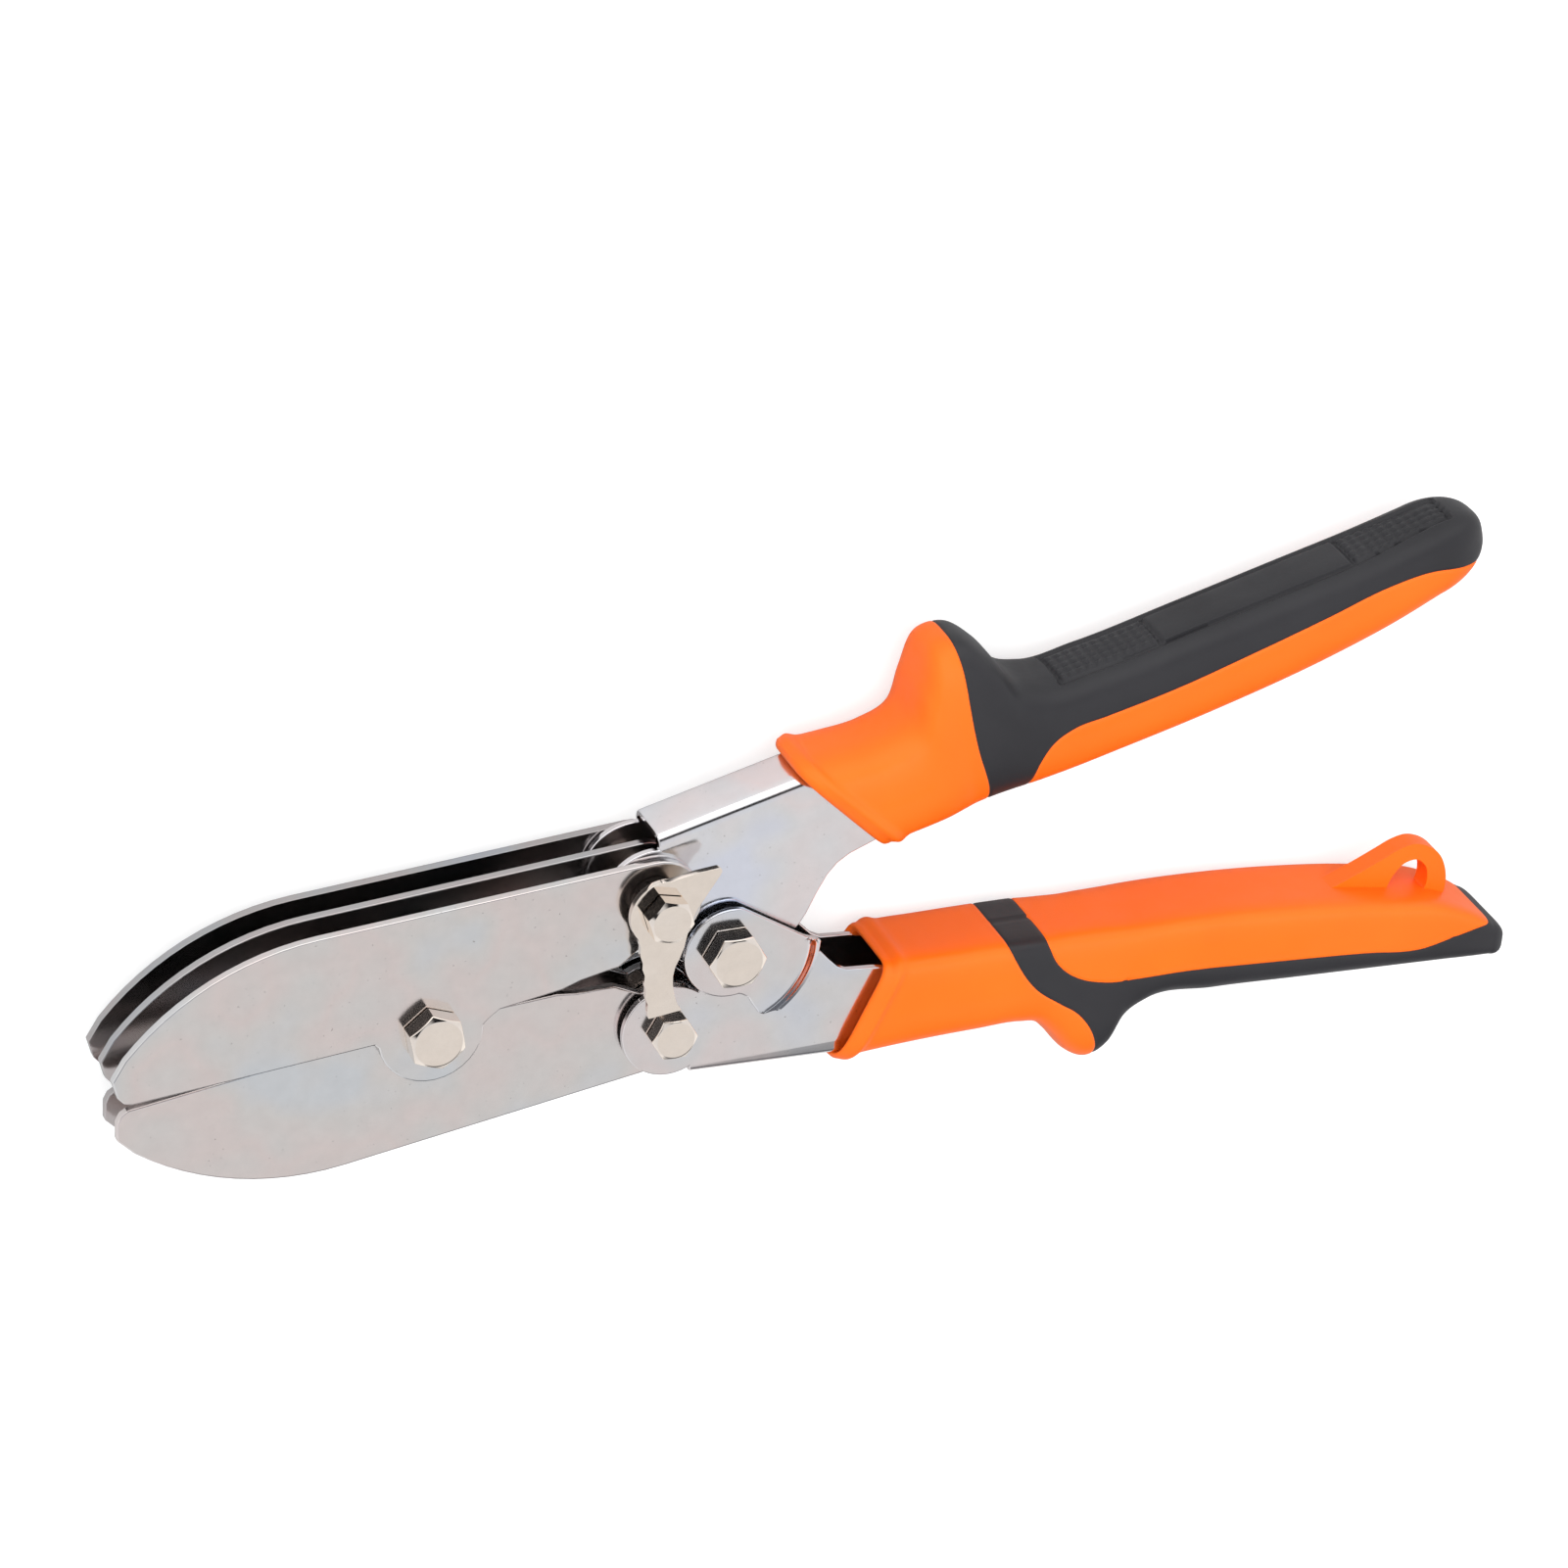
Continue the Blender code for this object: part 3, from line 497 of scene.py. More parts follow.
def turned_solid(name, profile, centre, steps=96):
    """A closed body turned round a vertical axis, from (radius, height) points that start and end
    on the axis."""
    points = []
    angles = np.linspace(0, 2 * math.pi, steps, endpoint=False)
    for radius, height in profile[1:-1]:
        x, y = radius * np.cos(angles), radius * np.sin(angles)
        points.extend(np.column_stack([x, y, np.full(steps, height)]) + (*centre, 0.0))
    faces = []
    for r in range(len(profile) - 3):
        for i in range(steps):
            j = (i + 1) % steps
            faces.append((r * steps + i, r * steps + j, (r + 1) * steps + j, (r + 1) * steps + i))
    last = (len(profile) - 3) * steps
    faces.append(tuple(range(steps)))
    faces.append(tuple(range(last, last + steps)))
    mesh = bpy.data.meshes.new(name)
    mesh.from_pydata([tuple(v) for v in tool(points)], [], faces)
    bm = bmesh.new()
    bm.from_mesh(mesh)
    bmesh.ops.recalc_face_normals(bm, faces=bm.faces)
    bm.to_mesh(mesh)
    bm.free()
    return link(bpy.data.objects.new(name, mesh))


def drill(obj, centre, radius):
    hole = [(0.0, 20.0), (radius, 20.0), (radius, -20.0), (0.0, -20.0)]
    return boolean(obj, turned_solid("hole", hole, centre, 48))


def bend_edges(obj, line, half):
    """Rounds the long edges of a channel's web, on both sides."""
    corners = [tool((x, y, z)) for x, y in line for z in (-half, half)]
    weights = obj.data.attributes.new("bevel_weight_edge", "FLOAT", "EDGE")
    on_line = []
    for vertex in obj.data.vertices:
        on_line.append(any(np.abs(np.array(vertex.co) - c).max() < 0.01 * MM for c in corners))
    for edge in obj.data.edges:
        first, second = edge.vertices
        level = abs(obj.data.vertices[first].co.z - obj.data.vertices[second].co.z) < 0.01 * MM
        bent = on_line[first] and on_line[second] and level
        weights.data[edge.index].value = 1.0 if bent else 0.0
    bevel = obj.modifiers.new("bend", "BEVEL")
    bevel.limit_method = "WEIGHT"
    bevel.width = BEND_RADIUS * MM
    bevel.segments = 8
    mesh = evaluated_mesh(obj)
    obj.modifiers.clear()
    obj.data = mesh


def finish_pressing(obj, node, material, width, body):
    """Gives a pressed piece its material and broken edges. One with no node of its own in the
    CAD replaces none."""
    joined(obj.data, 0.02, 0.5)
    shade(obj, material)
    break_edges(obj, 42, width, clamp=False)
    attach(obj, body)
    if node:
        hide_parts(node)


LOWER_WEB = [
    (48.9, -24.5),
    (78.2, -29.1),
    (97.0, -30.2),
    (115.0, -31.2),
    (140.0, -33.6),
    (170.0, -38.2),
    (200.0, -43.0),
]
LOWER_TOP = [(200.0, -36.0), (175.0, -28.6), (150.0, -23.8), (120.0, -19.2), (100.0, -16.4)]
LOWER_TOP += [(90.5, -13.6), (87.0, -12.5), (84.0, -11.9), (81.6, -11.4), (79.8, -10.2)]
LOWER_TOP += [(78.3, -8.2), (76.7, -6.0)]
LOWER_UNDER_EAR = [(70.0, -3.0), (56.0, -3.5)]
EAR_OUTSIDE = 9.3
RAMP_START = 14.9  # from the handle pivot, where the raised ear starts down to the flange
RAMP_END = 18.5


def raised_ear(side, material):
    """The lower handle's ear on one side: a dish pressed outward round the handle pivot, whose
    ramp runs into the flange."""
    turns = np.linspace(0, 1, 11)
    drop = EAR_OUTSIDE - LOWER_HALF
    radii = list(RAMP_START + (RAMP_END - RAMP_START) * turns) + [RAMP_END + 0.5]
    outside = list(EAR_OUTSIDE - drop * ease(turns)) + [7.2]
    profile = [(0.0, EAR_OUTSIDE)] + list(zip(radii, outside))
    profile += [(r - 0.5, z - SHEET + 0.1) for r, z in zip(radii[::-1], outside[::-1])]
    profile += [(0.0, EAR_OUTSIDE - SHEET + 0.1)]
    profile = [(float(r), side * float(z)) for r, z in profile]
    name = "lower_handle_ear_front" if side > 0 else "lower_handle_ear_back"
    ear = turned_solid(name, profile, HANDLE_PIVOT, 144)
    tip = [(60.0, -9.5), (61.2, -10.5), (61.9, -12.2), (62.8, -14.2), (63.9, -15.3), (65.6, -15.6)]
    outline = arc(HANDLE_PIVOT, 9.2, 68, 274, 48) + tip
    outline += [(68.2, -16.6)] + arc(HANDLE_PIVOT, RAMP_END + 1.5, -58, -13, 16)
    low, high = sorted((side * 5.0, side * 12.0))
    boolean(ear, outline_mesh("ear_edge", [outline], low, high), "INTERSECT")
    drill(ear, HANDLE_PIVOT, PIVOT_HOLE)
    finish_pressing(ear, None, material, 0.4, "lower_handle")


def lower_channel(material):
    outline = LOWER_WEB + LOWER_TOP + LOWER_UNDER_EAR + arc(LOWER_LINK, 9.3, 46, 290, 48)
    half = LOWER_HALF
    name = "lower_handle_channel"
    channel = outline_mesh(name + "_shown", [outline], -half, half)
    bend_edges(channel, LOWER_WEB, half)
    inner = [(x, y + SHEET) for x, y in LOWER_WEB]
    inner[0] = (48.8, inner[0][1])
    inner[-1] = (205.0, inner[-1][1] - 0.8)
    inner += [(205.0, 20.0), (30.0, 20.0), (30.0, -30.0), (48.8, -30.0)]
    boolean(channel, outline_mesh("inside", [inner], SHEET - half, half - SHEET))
    pocket = [(40.0, 14.0), (40.0, -3.2), (48.0, -4.6), (51.0, -6.4)]
    pocket += arc(HANDLE_PIVOT, 7.7, 231, 288, 12)
    pocket += arc(HANDLE_PIVOT, 14.4, -65, -65, 1)[:1] + arc(HANDLE_PIVOT, 16.4, -58, -16, 8)
    pocket += [(79.0, -3.0), (79.0, 14.0)]
    boolean(channel, outline_mesh("pocket", [pocket], -12.0, 12.0))
    drill(channel, LOWER_LINK, LINK_HOLE)
    for side in (1, -1):
        raised_ear(side, material)
    finish_pressing(channel, name, material, 0.3, "lower_handle")


UPPER_WEB = [(195.0, 41.8), (125.0, 32.8), (95.0, 31.0), (76.7, 31.0), (47.9, 27.0)]


def upper_channel(material):
    underside = [(70.5, -1.7), (72.8, 0.0), (74.8, 2.3), (77.2, 6.0), (79.7, 9.4), (81.9, 11.4)]
    underside += [(84.5, 12.7), (90.0, 14.2), (110.0, 18.4), (140.0, 22.6), (160.0, 25.8)]
    underside += [(195.0, 35.5)]
    outline = arc(HANDLE_PIVOT, 7.2, 200, 310, 24) + underside + UPPER_WEB
    outline += arc(UPPER_LINK, 10.0, 77.5, 260, 36)
    half = UPPER_HALF
    name = "upper_handle_channel"
    channel = outline_mesh(name + "_shown", [outline], -half, half)
    bend_edges(channel, UPPER_WEB, half)
    inner_web = [(x, y - SHEET) for x, y in UPPER_WEB]
    inner = [(205.0, inner_web[0][1] + 1.3)] + inner_web
    inner += [(47.9, 40.0), (30.0, 40.0), (30.0, -30.0), (205.0, -30.0)]
    boolean(channel, outline_mesh("inside", [inner], SHEET - half, half - SHEET))
    drill(channel, UPPER_LINK, LINK_HOLE)
    drill(channel, HANDLE_PIVOT, PIVOT_HOLE)
    finish_pressing(channel, name, material, 0.3, "upper_handle")


LATCH_LAYER = (11.5, 12.9)


def latch(material):
    """The latch plate: blanked with a thumb tab, its long edge a little ragged from the shears."""
    round_end = arc(UPPER_LINK, 6.8, 76, 212, 30)
    left = [(40.3, 8.6), (40.05, 6.8), (40.35, 5.2), (40.15, 3.9), (40.5, 2.4), (40.2, 0.9)]
    left += [(40.45, -0.7), (40.2, -2.3), (40.5, -3.9), (40.25, -5.4), (40.35, -6.9)]
    foot = [(46.9, -6.9), (46.1, -5.2), (45.8, -3.4)]
    neck = [(45.7, -1.0), (45.9, 0.8), (46.5, 2.6), (47.6, 4.3), (48.6, 6.2), (49.3, 8.2)]
    neck += [(50.1, 10.4), (51.8, 13.4)]
    tab = [(57.0, 19.4), (57.4, 20.1), (57.3, 20.7), (56.7, 21.0), (52.6, 21.1), (49.6, 20.9)]
    hole = arc(UPPER_LINK, LINK_HOLE, 0, 352.5, 47)
    edge = round_end + left + foot + neck + tab
    plate = outline_mesh("latch_plate_shown", [edge, hole], *LATCH_LAYER)
    shade(plate, material, 50.0)
    break_edges(plate, 50, 0.42, 4)
    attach(plate, "latch")
    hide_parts("latch_plate")


# Each: centre, size across flats, head's underside, head's height, shank's radius and tip, turn.
BOLTS = {
    "jaw_pivot_bolt": (JAW, 10.0, 9.2, 4.0, 3.0, -14.1, 33.0),
    "upper_link_bolt": (UPPER_LINK, 8.0, 13.2, 3.4, 2.5, -12.9, 40.0),
    "lower_link_bolt": (LOWER_LINK, 8.0, 7.8, 3.4, 2.5, -11.5, 53.0),
    "handle_pivot_bolt": (HANDLE_PIVOT, 10.0, 9.6, 4.0, 3.0, -14.1, 53.0),
}


def bolt(node, material):
    """A cold-headed hexagon bolt: its chamfer and edges softened by the plating."""
    centre, flats, low, height, shank, tip, turn = BOLTS[node]
    high = low + height
    corners = arc(centre, flats / math.sqrt(3), turn, turn + 300, 5)
    head = outline_mesh(node + "_shown", [corners], low, high)
    edge, corner = 0.455 * flats, 0.6 * flats
    fall = (corner - edge) * math.tan(math.radians(30))
    chamfer = [(0.0, high), (edge, high), (corner, high - fall), (corner, low - 1), (0.0, low - 1)]
    boolean(head, turned_solid("chamfer", chamfer, centre, 72), "INTERSECT")
    rod = [(0.0, low + 1), (shank, low + 1), (shank, tip + 0.5), (shank - 0.5, tip), (0.0, tip)]
    boolean(head, turned_solid("shank", rod, centre, 48), "UNION")
    shade(head, material, 20.0)
    break_edges(head, 20, 0.2)
    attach(head, frame["nodes"][node]["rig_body"])
    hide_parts(node)


# ---------------------------------------------------------------- grips


def spline(points, parameter, samples):
    """A smooth curve through points, each at its own parameter."""
    points = np.array(points, float)
    slopes = np.gradient(points, parameter, axis=0)
    k = np.clip(np.searchsorted(parameter, samples, side="right") - 1, 0, len(parameter) - 2)
    step = (parameter[k + 1] - parameter[k])[:, None]
    u = (samples - parameter[k])[:, None] / step
    result = (2 * u**3 - 3 * u**2 + 1) * points[k] + (u**3 - 2 * u**2 + u) * step * slopes[k]
    result += (3 * u**2 - 2 * u**3) * points[k + 1] + (u**3 - u**2) * step * slopes[k + 1]
    return result


def smooth_loop(points, spacing=0.4):
    """A closed outline, rounded through its points."""
    points = np.array(list(points) + [points[0]], float)
    lengths = np.hypot(*np.diff(points, axis=0).T)
    parameter = np.concatenate([[0], np.cumsum(lengths)])
    samples = np.arange(0, parameter[-1], spacing)
    return spline(points, parameter, samples)


def side_of(outline, xy):
    """Signed distance of each point from a closed outline, positive inside, in millimetres."""
    result = np.empty(len(xy))
    first = outline
    edge = np.roll(outline, -1, axis=0) - first
    length2 = (edge**2).sum(1)
    for start in range(0, len(xy), 4000):
        p = xy[start : start + 4000, None, :]
        t = np.clip(((p - first) * edge).sum(2) / length2, 0, 1)
        nearest = first + t[..., None] * edge
        distance = np.sqrt(((p - nearest) ** 2).sum(2)).min(1)
        y0, y1 = first[:, 1], first[:, 1] + edge[:, 1]
        crosses = (y0 > p[..., 1]) != (y1 > p[..., 1])
        with np.errstate(divide="ignore", invalid="ignore"):
            at = first[:, 0] + (p[..., 1] - y0) / edge[:, 1] * edge[:, 0]
        inside = (crosses & (p[..., 0] < at)).sum(1) % 2 == 1
        result[start : start + 4000] = np.where(inside, distance, -distance)
    return result


def rounded_section(low, high, half_width, square_above, square_below, angles):
    """Points (x, y, z) round a cross-section standing between low and high in side view."""
    side, rise = np.cos(angles), np.sin(angles)
    power = 2 / np.where(rise > 0, square_above, square_below)
    side = np.copysign(np.abs(side) ** power, side)
    rise = np.copysign(np.abs(rise) ** power, rise)
    centre = (low + high) / 2
    up = (high - low) / 2
    xy = centre + rise[:, None] * up
    return np.column_stack([xy, half_width * side])


def even_angles(count, square_above, square_below):
    """Angles that space a rounded-square section's points evenly round it."""
    fine = np.linspace(0, 2 * math.pi, 4001)
    low, high = np.array((0.0, -1.0)), np.array((0.0, 1.0))
    points = rounded_section(low, high, 1.0, square_above, square_below, fine)
    lengths = np.concatenate([[0], np.cumsum(np.linalg.norm(np.diff(points, axis=0), axis=1))])
    return np.interp(np.linspace(0, lengths[-1], count, endpoint=False), lengths, fine)


class Grip:
    """The outside of a grip as a grid of points: rings along it, points round each ring."""

    def __init__(self, stations, square_above, square_below, rings, around, end):
        self.end = end
        stations = np.array(stations, float)
        middle = (stations[:, 0:2] + stations[:, 2:4]) / 2
        parameter = np.concatenate([[0], np.cumsum(np.hypot(*np.diff(middle, axis=0).T))])
        fine = spline(stations, parameter, np.linspace(0, parameter[-1], rings))
        self.angles = even_angles(around, square_above, square_below)
        self.square = (square_above, square_below)
        self.stations = fine
        grid = [rounded_section(s[0:2], s[2:4], s[4], *self.square, self.angles) for s in fine]
        self.grid = np.array(grid + self.dome(fine[-1], fine[-1] - fine[-2]))

    def dome(self, last, step):
        """Rings that round off the far end."""
        depth, flat_height, flat_width = self.end
        middle_step = (step[0:2] + step[2:4]) / 2
        along = middle_step / np.hypot(*middle_step)
        centre = (last[0:2] + last[2:4]) / 2
        half = (last[2:4] - last[0:2]) / 2
        rings = []
        for turn in np.linspace(0, math.pi / 2, 26)[1:]:
            here = centre + along * depth * math.sin(turn)
            fall = max(math.cos(turn), 0.0) ** 0.85
            up = half * (flat_height + (1 - flat_height) * fall)
            width = last[4] * (flat_width + (1 - flat_width) * fall)
            rings.append(rounded_section(here - up, here + up, width, *self.square, self.angles))
        return rings

    def beaded(self):
        """The grid with the mouth's rolled bead raised round it."""
        steps = np.linalg.norm(np.diff(self.grid, axis=0), axis=2)
        along = np.vstack([np.zeros(steps.shape[1]), np.cumsum(steps, axis=0)])
        self.grid = self.pressed(-BEAD_HEIGHT * np.exp(-(((along - 1.7) / 1.35) ** 2)))

    def normals(self):
        along = np.gradient(self.grid, axis=0)
        around = np.roll(self.grid, -1, axis=1) - np.roll(self.grid, 1, axis=1)
        normal = np.cross(around, along)
        normal /= np.linalg.norm(normal, axis=2, keepdims=True) + 1e-9
        centre = self.grid.mean(axis=1, keepdims=True)
        outward = np.sign(((self.grid - centre) * normal).sum(2).mean())
        return normal * outward

    def pressed(self, depth):
        """The grid pressed in along its normals by depth, in millimetres, at each point."""
        return self.grid - self.normals() * depth[..., None]


def grid_faces(rings, around, keep=None):
    i = np.arange(rings - 1)[:, None] * around
    j = np.arange(around)[None, :]
    nxt = (j + 1) % around
    faces = np.stack([i + j, i + nxt, i + around + nxt, i + around + j], axis=-1).reshape(-1, 4)
    if keep is not None:
        faces = faces[keep.reshape(-1)[faces].all(axis=1)]
    return [tuple(int(v) for v in face) for face in faces]


def mesh_object(name, vertices, faces, material, angle=50.0):
    mesh = bpy.data.meshes.new(name)
    mesh.from_pydata([tuple(v) for v in tool(vertices)], [], faces)
    bm = bmesh.new()
    bm.from_mesh(mesh)
    loose = [v for v in bm.verts if not v.link_faces]
    bmesh.ops.delete(bm, geom=loose, context="VERTS")
    bmesh.ops.recalc_face_normals(bm, faces=bm.faces)
    bm.to_mesh(mesh)
    bm.free()
    obj = link(bpy.data.objects.new(name, mesh))
    shade(obj, material, angle)
    return obj


BEAD_HEIGHT = 0.75  # how far the rolled mouth of each grip stands out, in millimetres
SEAM_ROLL = 0.55  # how far from the seam each material starts to roll in, in millimetres
UNDER_RUBBER = 1.7  # how deep the orange runs below the dark skin
RUBBER = 1.4  # how thick the dark skin is
RUBBER_TUCK = 0.9  # how deep the dark skin's edge rolls in at the seam
RUBBER_OVERLAP = 1.1  # how far the dark skin runs on past the seam, under the orange
LIP = 1.3  # how far the mouth's lip rolls forward


def seam_depth(field, full):
    """How deep a material is pressed in: nothing on its own side, to full on the other's."""
    t = np.clip((field + SEAM_ROLL) / (SEAM_ROLL + 1.0), 0, 1)
    return full * t**2.2 * (1.6 - 0.6 * t)


def sock(grip, grid, mouth, channel_half):
    """The orange body's rings: the far end, the outside to the mouth, a rolled lip and the
    inside that fits round the handle's channel."""
    low, high = mouth
    first = grip.stations[0]
    line = first[2:4] - first[0:2]
    forward = np.array((-line[1], line[0])) / np.hypot(*line)
    if forward[0] > 0:
        forward = -forward
    inner_front = rounded_section(low[0], high[0], channel_half, 9.0, 9.0, grip.angles)
    inner_back = rounded_section(low[1], high[1], channel_half - 0.1, 9.0, 9.0, grip.angles)
    rings = []
    for t in np.linspace(0, 1, 10)[1:]:
        ring = grid[0] * (1 - t) + inner_front * t
        ring[:, :2] += forward * LIP * math.sin(math.pi * min(t * 1.1, 1.0)) ** 0.7
        rings.append(ring)
    for t in np.linspace(0, 1, 6)[1:]:
        rings.append(inner_front * (1 - t) + inner_back * t)
    return np.array(list(grid[::-1]) + rings)


def closed_mesh(name, grid, material):
    """A grid of rings closed with a fan at each end."""
    rings, around, _ = grid.shape
    vertices = list(grid.reshape(-1, 3))
    faces = grid_faces(rings, around)
    for ring_index in (0, rings - 1):
        centre = len(vertices)
        vertices.append(grid[ring_index].mean(axis=0))
        base = ring_index * around
        for j in range(around):
            faces.append((base + j, base + (j + 1) % around, centre))
    return mesh_object(name, np.array(vertices), faces, material)


def skin_mesh(name, grid, keep, inner, material):
    """A grid's kept faces as a skin with its inner face on another grid."""
    rings, around, _ = grid.shape
    faces = grid_faces(rings, around, keep)
    count = rings * around
    tip_out, tip_in = 2 * count, 2 * count + 1
    tips = (grid[-1].mean(axis=0), inner[-1].mean(axis=0))
    vertices = np.vstack([grid.reshape(-1, 3), inner.reshape(-1, 3), *tips])
    base = (rings - 1) * around
    for j in range(around):
        first, second = base + j, base + (j + 1) % around
        if keep.reshape(-1)[first] and keep.reshape(-1)[second]:
            faces.append((first, second, tip_out))
    edges = {}
    for face in faces:
        for a, b in zip(face, face[1:] + face[:1]):
            key = (a, b) if a < b else (b, a)
            edges[key] = None if key in edges else (a, b)

    def twin(v):
        return tip_in if v == tip_out else v + count

    back = [tuple(twin(v) for v in reversed(face)) for face in faces]
    rim = [(b, a, twin(a), twin(b)) for a, b in filter(None, edges.values())]
    return mesh_object(name, vertices, faces + back + rim, material)


UPPER_STATIONS = [
    (93.6, 12.2, 76.0, 33.6, 10.6),
    (97.0, 12.7, 84.0, 33.4, 10.6),
    (101.0, 13.3, 92.5, 33.8, 10.6),
    (105.0, 13.9, 98.8, 36.4, 10.6),
    (108.2, 14.4, 101.6, 43.4, 10.5),
    (111.0, 14.8, 104.8, 49.9, 10.2),
    (114.4, 15.3, 110.4, 50.4, 10.2),
    (118.0, 15.9, 115.4, 46.0, 10.4),
    (122.0, 16.5, 119.4, 40.0, 10.5),
    (128.0, 17.3, 125.2, 37.4, 10.5),
    (140.0, 19.0, 137.0, 37.9, 10.5),
    (160.0, 22.0, 157.0, 40.8, 10.4),
    (182.0, 26.4, 178.0, 44.0, 10.3),
    (198.0, 30.8, 195.0, 46.6, 10.0),
    (206.8, 33.8, 205.2, 48.6, 9.5),
]
UPPER_DARK = [(113.2, 10.0), (112.6, 19.0), (110.4, 29.3), (109.4, 38.2), (109.0, 46.0)]
UPPER_DARK += [(108.4, 56.0), (225.0, 56.0), (225.0, 38.5), (212.0, 40.3), (203.4, 41.6)]
UPPER_DARK += [(195.2, 41.0), (182.1, 38.1), (167.6, 35.0), (150.2, 31.6), (136.0, 29.7)]
UPPER_DARK += [(129.5, 28.9), (125.2, 26.9), (122.4, 23.6), (120.8, 19.0), (120.0, 10.0)]

LOWER_STATIONS = [
    (77.6, -31.0, 90.4, -11.8, 10.4),
    (84.4, -31.3, 94.8, -12.0, 10.4),
    (94.0, -31.9, 101.0, -12.8, 10.4),
    (106.0, -33.0, 110.0, -13.9, 10.4),
    (115.0, -34.0, 117.4, -14.9, 10.4),
    (118.8, -35.3, 121.0, -15.4, 10.4),
    (121.4, -38.6, 123.4, -15.8, 10.3),
    (124.4, -43.4, 126.4, -16.2, 10.2),
    (128.4, -46.2, 130.6, -16.9, 10.2),
    (132.4, -44.6, 135.0, -17.5, 10.4),
    (135.8, -39.4, 139.0, -18.1, 10.4),
    (141.0, -36.6, 145.0, -18.8, 10.4),
    (155.0, -38.2, 158.6, -20.7, 10.4),
    (172.0, -41.0, 175.4, -24.0, 10.4),
    (190.0, -44.0, 193.0, -28.6, 10.2),
    (203.0, -46.2, 205.6, -33.0, 9.8),
    (211.0, -47.4, 212.8, -37.8, 9.5),
    (213.8, -47.8, 215.2, -39.9, 9.2),
]
LOWER_FRONT_SEAM = [(113.6, -8.0), (113.8, -15.0), (114.9, -18.6), (118.4, -25.4)]
LOWER_FRONT_SEAM += [(123.0, -30.0), (126.2, -33.0), (128.6, -37.0), (129.8, -41.2), (129.4, -50.0)]
LOWER_REAR_SEAM = [(225.0, -41.0), (212.6, -39.4), (206.8, -39.8), (198.8, -40.4), (186.5, -37.6)]
LOWER_REAR_SEAM += [(165.4, -33.4), (150.3, -30.6), (138.9, -29.1), (133.0, -28.2), (127.9, -26.2)]
LOWER_REAR_SEAM += [(124.8, -23.7), (122.7, -20.7), (121.6, -17.0), (121.2, -8.0)]
LOWER_DARK = LOWER_FRONT_SEAM + [(225.0, -52.0)] + LOWER_REAR_SEAM

PANEL_START = 128.5
PANEL_END = 211.0
PANEL_HALF = 6.4
PANEL_SMOOTH = (150.0, 190.0)  # the plain stretch between the two studded ones
STUD_PITCH = 1.9


def box_step(value, low, high, edge):
    return ease((value - low) / edge) * ease((high - value) / edge)


def panel_depth(grid):
    """The recessed grip panel on the upper handle's back, with two fields of square studs and a
    plain raised stretch between them."""
    x, z = grid[..., 0], grid[..., 2]
    middle = grid.mean(axis=1, keepdims=True)
    above = ease((grid[..., 1] - middle[..., 1]) / 2.0)
    taper = PANEL_HALF - 1.6 * ease((x - 185) / 26)
    inside = taper - np.abs(z)
    panel = box_step(x, PANEL_START, PANEL_END, 0.5) * ease(inside / 0.6) * above
    plain = box_step(x, *PANEL_SMOOTH, 0.4) * ease((inside - 1.0) / 0.4)
    ends = np.minimum(np.abs(x - PANEL_SMOOTH[0]), np.abs(x - PANEL_SMOOTH[1]))
    step_line = ease((0.75 - ends) / 0.35) * ease(inside / 0.4)
    side_line = ease((0.55 - np.abs(inside - 0.9)) / 0.3)
    from_end = np.minimum(np.abs(x - PANEL_START - 0.9), np.abs(x - PANEL_END + 0.9))
    end_line = ease((0.55 - from_end) / 0.3)
    line = np.maximum(step_line, np.maximum(side_line, end_line * ease(inside / 0.4)))
    lines_x = 1 - box_step(np.mod(x, STUD_PITCH), 0.25, STUD_PITCH - 0.25, 0.3)
    lines_z = 1 - box_step(np.mod(z + 20, STUD_PITCH), 0.25, STUD_PITCH - 0.25, 0.3)
    studs = (1 - np.maximum(lines_x, lines_z)) * (1 - plain) * ease((inside - 1.4) / 0.3)
    return panel * (0.38 - 0.24 * plain - 0.3 * studs + 0.42 * line)


def make_upper_grip(orange, dark):
    grip = Grip(UPPER_STATIONS, 3.1, 3.0, 450, 200, (12.3, 0.03, 0.03))
    grip.beaded()
    rings, around, _ = grip.grid.shape
    side_view = grip.grid[..., :2].reshape(-1, 2)
    field = side_of(smooth_loop(UPPER_DARK), side_view).reshape(rings, around)
    body_grid = grip.pressed(seam_depth(field, UNDER_RUBBER))
    mouth = (
        (np.array((91.4, 14.7)), np.array((150.0, 24.4))),
        (np.array((78.2, 31.2)), np.array((149.0, 35.8))),
    )
    rings_all = sock(grip, body_grid, mouth, UPPER_HALF + 0.4)
    body = closed_mesh("upper_grip_orange", rings_all, orange)
    skin_depth = seam_depth(-field, RUBBER_TUCK)
    outer = grip.pressed(skin_depth + panel_depth(grip.grid))
    inner = grip.pressed(np.maximum(skin_depth, 0) + RUBBER)
    skin = skin_mesh("upper_grip_rubber", outer, field > -RUBBER_OVERLAP, inner, dark)
    for piece, node, slot in (
        (body, "upper_grip_body", "orange_plastic"),
        (skin, "upper_grip_overmould", "dark_rubber"),
    ):
        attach(piece, "upper_handle")
        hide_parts(node)


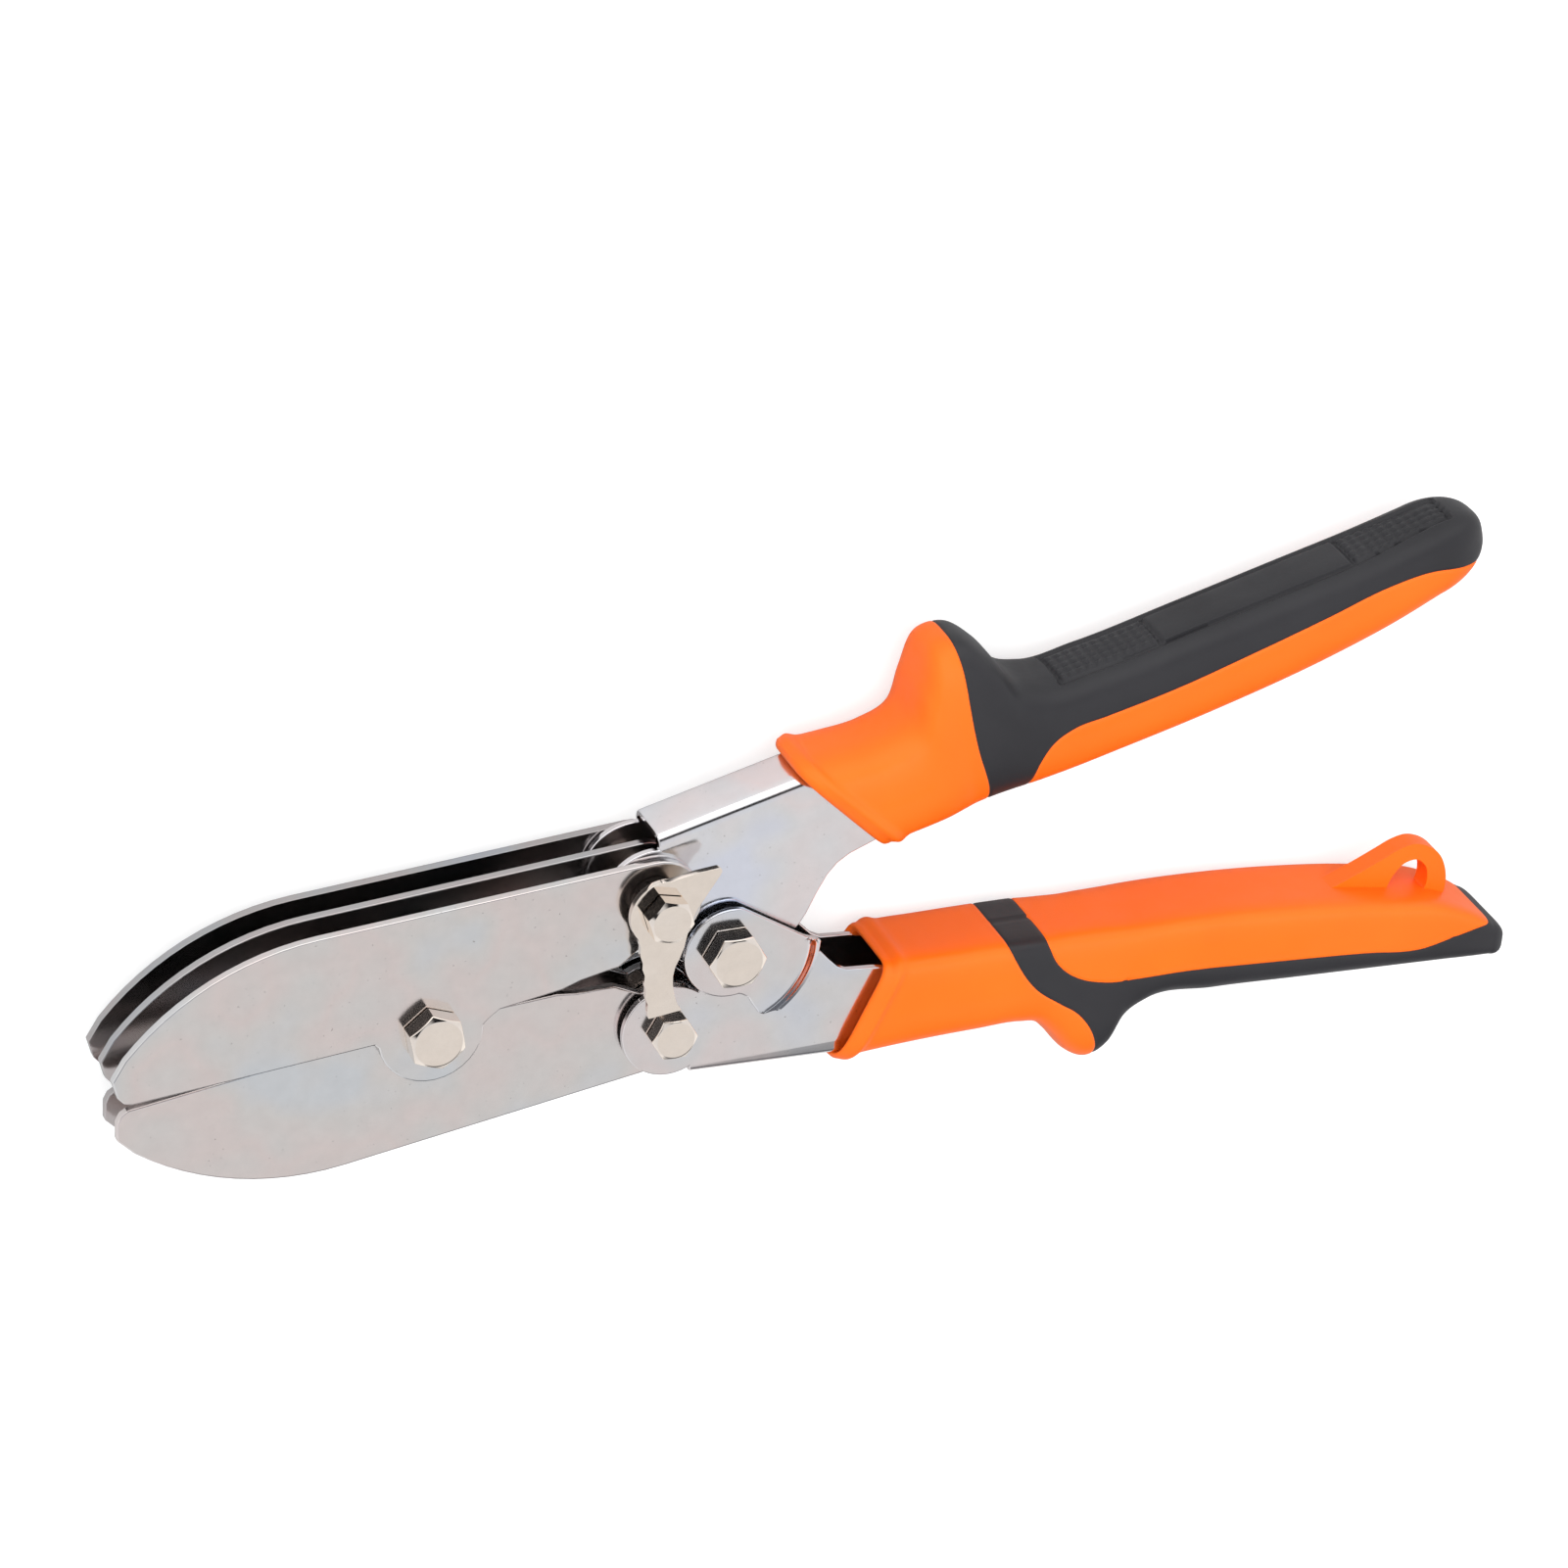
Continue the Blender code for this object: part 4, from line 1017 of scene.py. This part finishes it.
def make_lower_grip(orange, dark):
    grip = Grip(LOWER_STATIONS, 7.0, 3.4, 400, 200, (3.3, 0.12, 0.62))
    grip.beaded()
    rings, around, _ = grip.grid.shape
    side_view = grip.grid[..., :2].reshape(-1, 2)
    field = side_of(smooth_loop(LOWER_DARK), side_view).reshape(rings, around)
    body_grid = grip.pressed(seam_depth(field, UNDER_RUBBER))
    mouth = (
        (np.array((79.2, -29.4)), np.array((150.0, -35.4))),
        (np.array((89.5, -13.4)), np.array((153.0, -23.6))),
    )
    rings_all = sock(grip, body_grid, mouth, LOWER_HALF + 0.7)
    body = closed_mesh("lower_grip_orange", rings_all, orange)
    skin_depth = seam_depth(-field, RUBBER_TUCK)
    above = grip.grid[..., 1] > grip.grid.mean(axis=1, keepdims=True)[..., 1]
    parting = above * np.exp(-((grip.grid[..., 2] / 0.55) ** 2))
    parting = parting * ease((130 - grip.grid[..., 0]) / 4)
    outer = grip.pressed(skin_depth + 0.8 * parting)
    inner = grip.pressed(skin_depth + RUBBER)
    skin = skin_mesh("lower_grip_rubber", outer, field > -RUBBER_OVERLAP, inner, dark)
    loop = hanging_loop(orange)
    for piece, nodes, slot in (
        (body, ["lower_grip_body"], "orange_plastic"),
        (skin, ["lower_grip_overmould"], "dark_rubber"),
        (loop, [], "orange_plastic"),
    ):
        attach(piece, "lower_handle")
        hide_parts(*nodes)


LOOP_OUTSIDE = [
    (182.0, -30.0),
    (206.0, -36.0),
    (207.6, -33.0),
    (207.9, -28.4),
    (206.8, -25.0),
    (204.4, -22.5),
    (201.6, -21.3),
    (198.8, -21.5),
    (195.0, -22.7),
    (190.0, -24.3),
    (185.0, -25.7),
    (178.0, -27.2),
]
LOOP_HOLE = [(194.8, -30.2), (203.2, -31.8), (203.8, -27.0), (202.0, -24.9), (199.6, -24.9)]
LOOP_HOLE += [(196.8, -27.0)]


def hanging_loop(orange):
    loops = [smooth_loop(LOOP_OUTSIDE, 0.7), smooth_loop(LOOP_HOLE, 0.7)]
    obj = outline_mesh("hanging_loop", loops, -2.3, 2.3)
    shade(obj, orange, 60.0)
    break_edges(obj, 50, 1.0, 5, harden=False)
    return obj


# ---------------------------------------------------------------- assembly

make_camera()
make_world()
make_floor()
make_area_light("key", (-0.45, 0.75, 1.45), (1.5, 1.5), 24.0)
make_area_light("fill", (0.8, 0.2, 1.5), (1.5, 1.5), 10.0)

face_zinc = zinc("bright_zinc", 1.0, 1.0)
channel_zinc = zinc("channel_zinc", 1.03)
upper_zinc = zinc("upper_channel_zinc", 1.12, -1.0)
# A darker copy of the zinc: painted shade for the middle and back blades, dim in the gaps of the
# blade pack.
blade_gap_shaded_zinc = zinc("zinc_painted_shade_between_blades", 0.72)
bright_nickel = nickel()
wire_steel = dark_steel("spring_wire", 1.5)
# Nearly black steel for the latch spacer: painted shade for the dark gap under the latch.
spacer_shade_steel = dark_steel("latch_spacer_painted_shade", 0.2)
orange = orange_plastic()
rubber = dark_rubber()

for blade in ("upper_blade_front", "lower_blade_front"):
    refined(blade, face_zinc, 0.42)
# The middle and back blades take the darker zinc, painted shade between the blades.
for blade in ("upper_blade_middle", "upper_blade_back", "lower_blade_back"):
    refined(blade, blade_gap_shaded_zinc, 0.3)
upper_channel(upper_zinc)
lower_channel(channel_zinc)
latch(bright_nickel)
for pivot in ("jaw_pivot", "upper_link", "lower_link", "handle_pivot"):
    bolt(pivot + "_bolt", bright_nickel)
    refined(pivot + "_nut", bright_nickel, 0.12, 2)
for name, node in frame["nodes"].items():
    if node.hide_render:
        continue
    steel = wire_steel if name.startswith("torsion") else bright_nickel
    for material_slot in node.material_slots:
        # The latch spacer gets the nearly black steel: painted shade for the dark gap under the
        # latch.
        material_slot.material = spacer_shade_steel if name == "latch_spacer" else steel

make_upper_grip(orange, rubber)
make_lower_grip(orange, rubber)

scene = bpy.context.scene
scene.view_settings.view_transform = "Standard"
scene.view_settings.look = "None"
scene.view_settings.exposure = 0.0
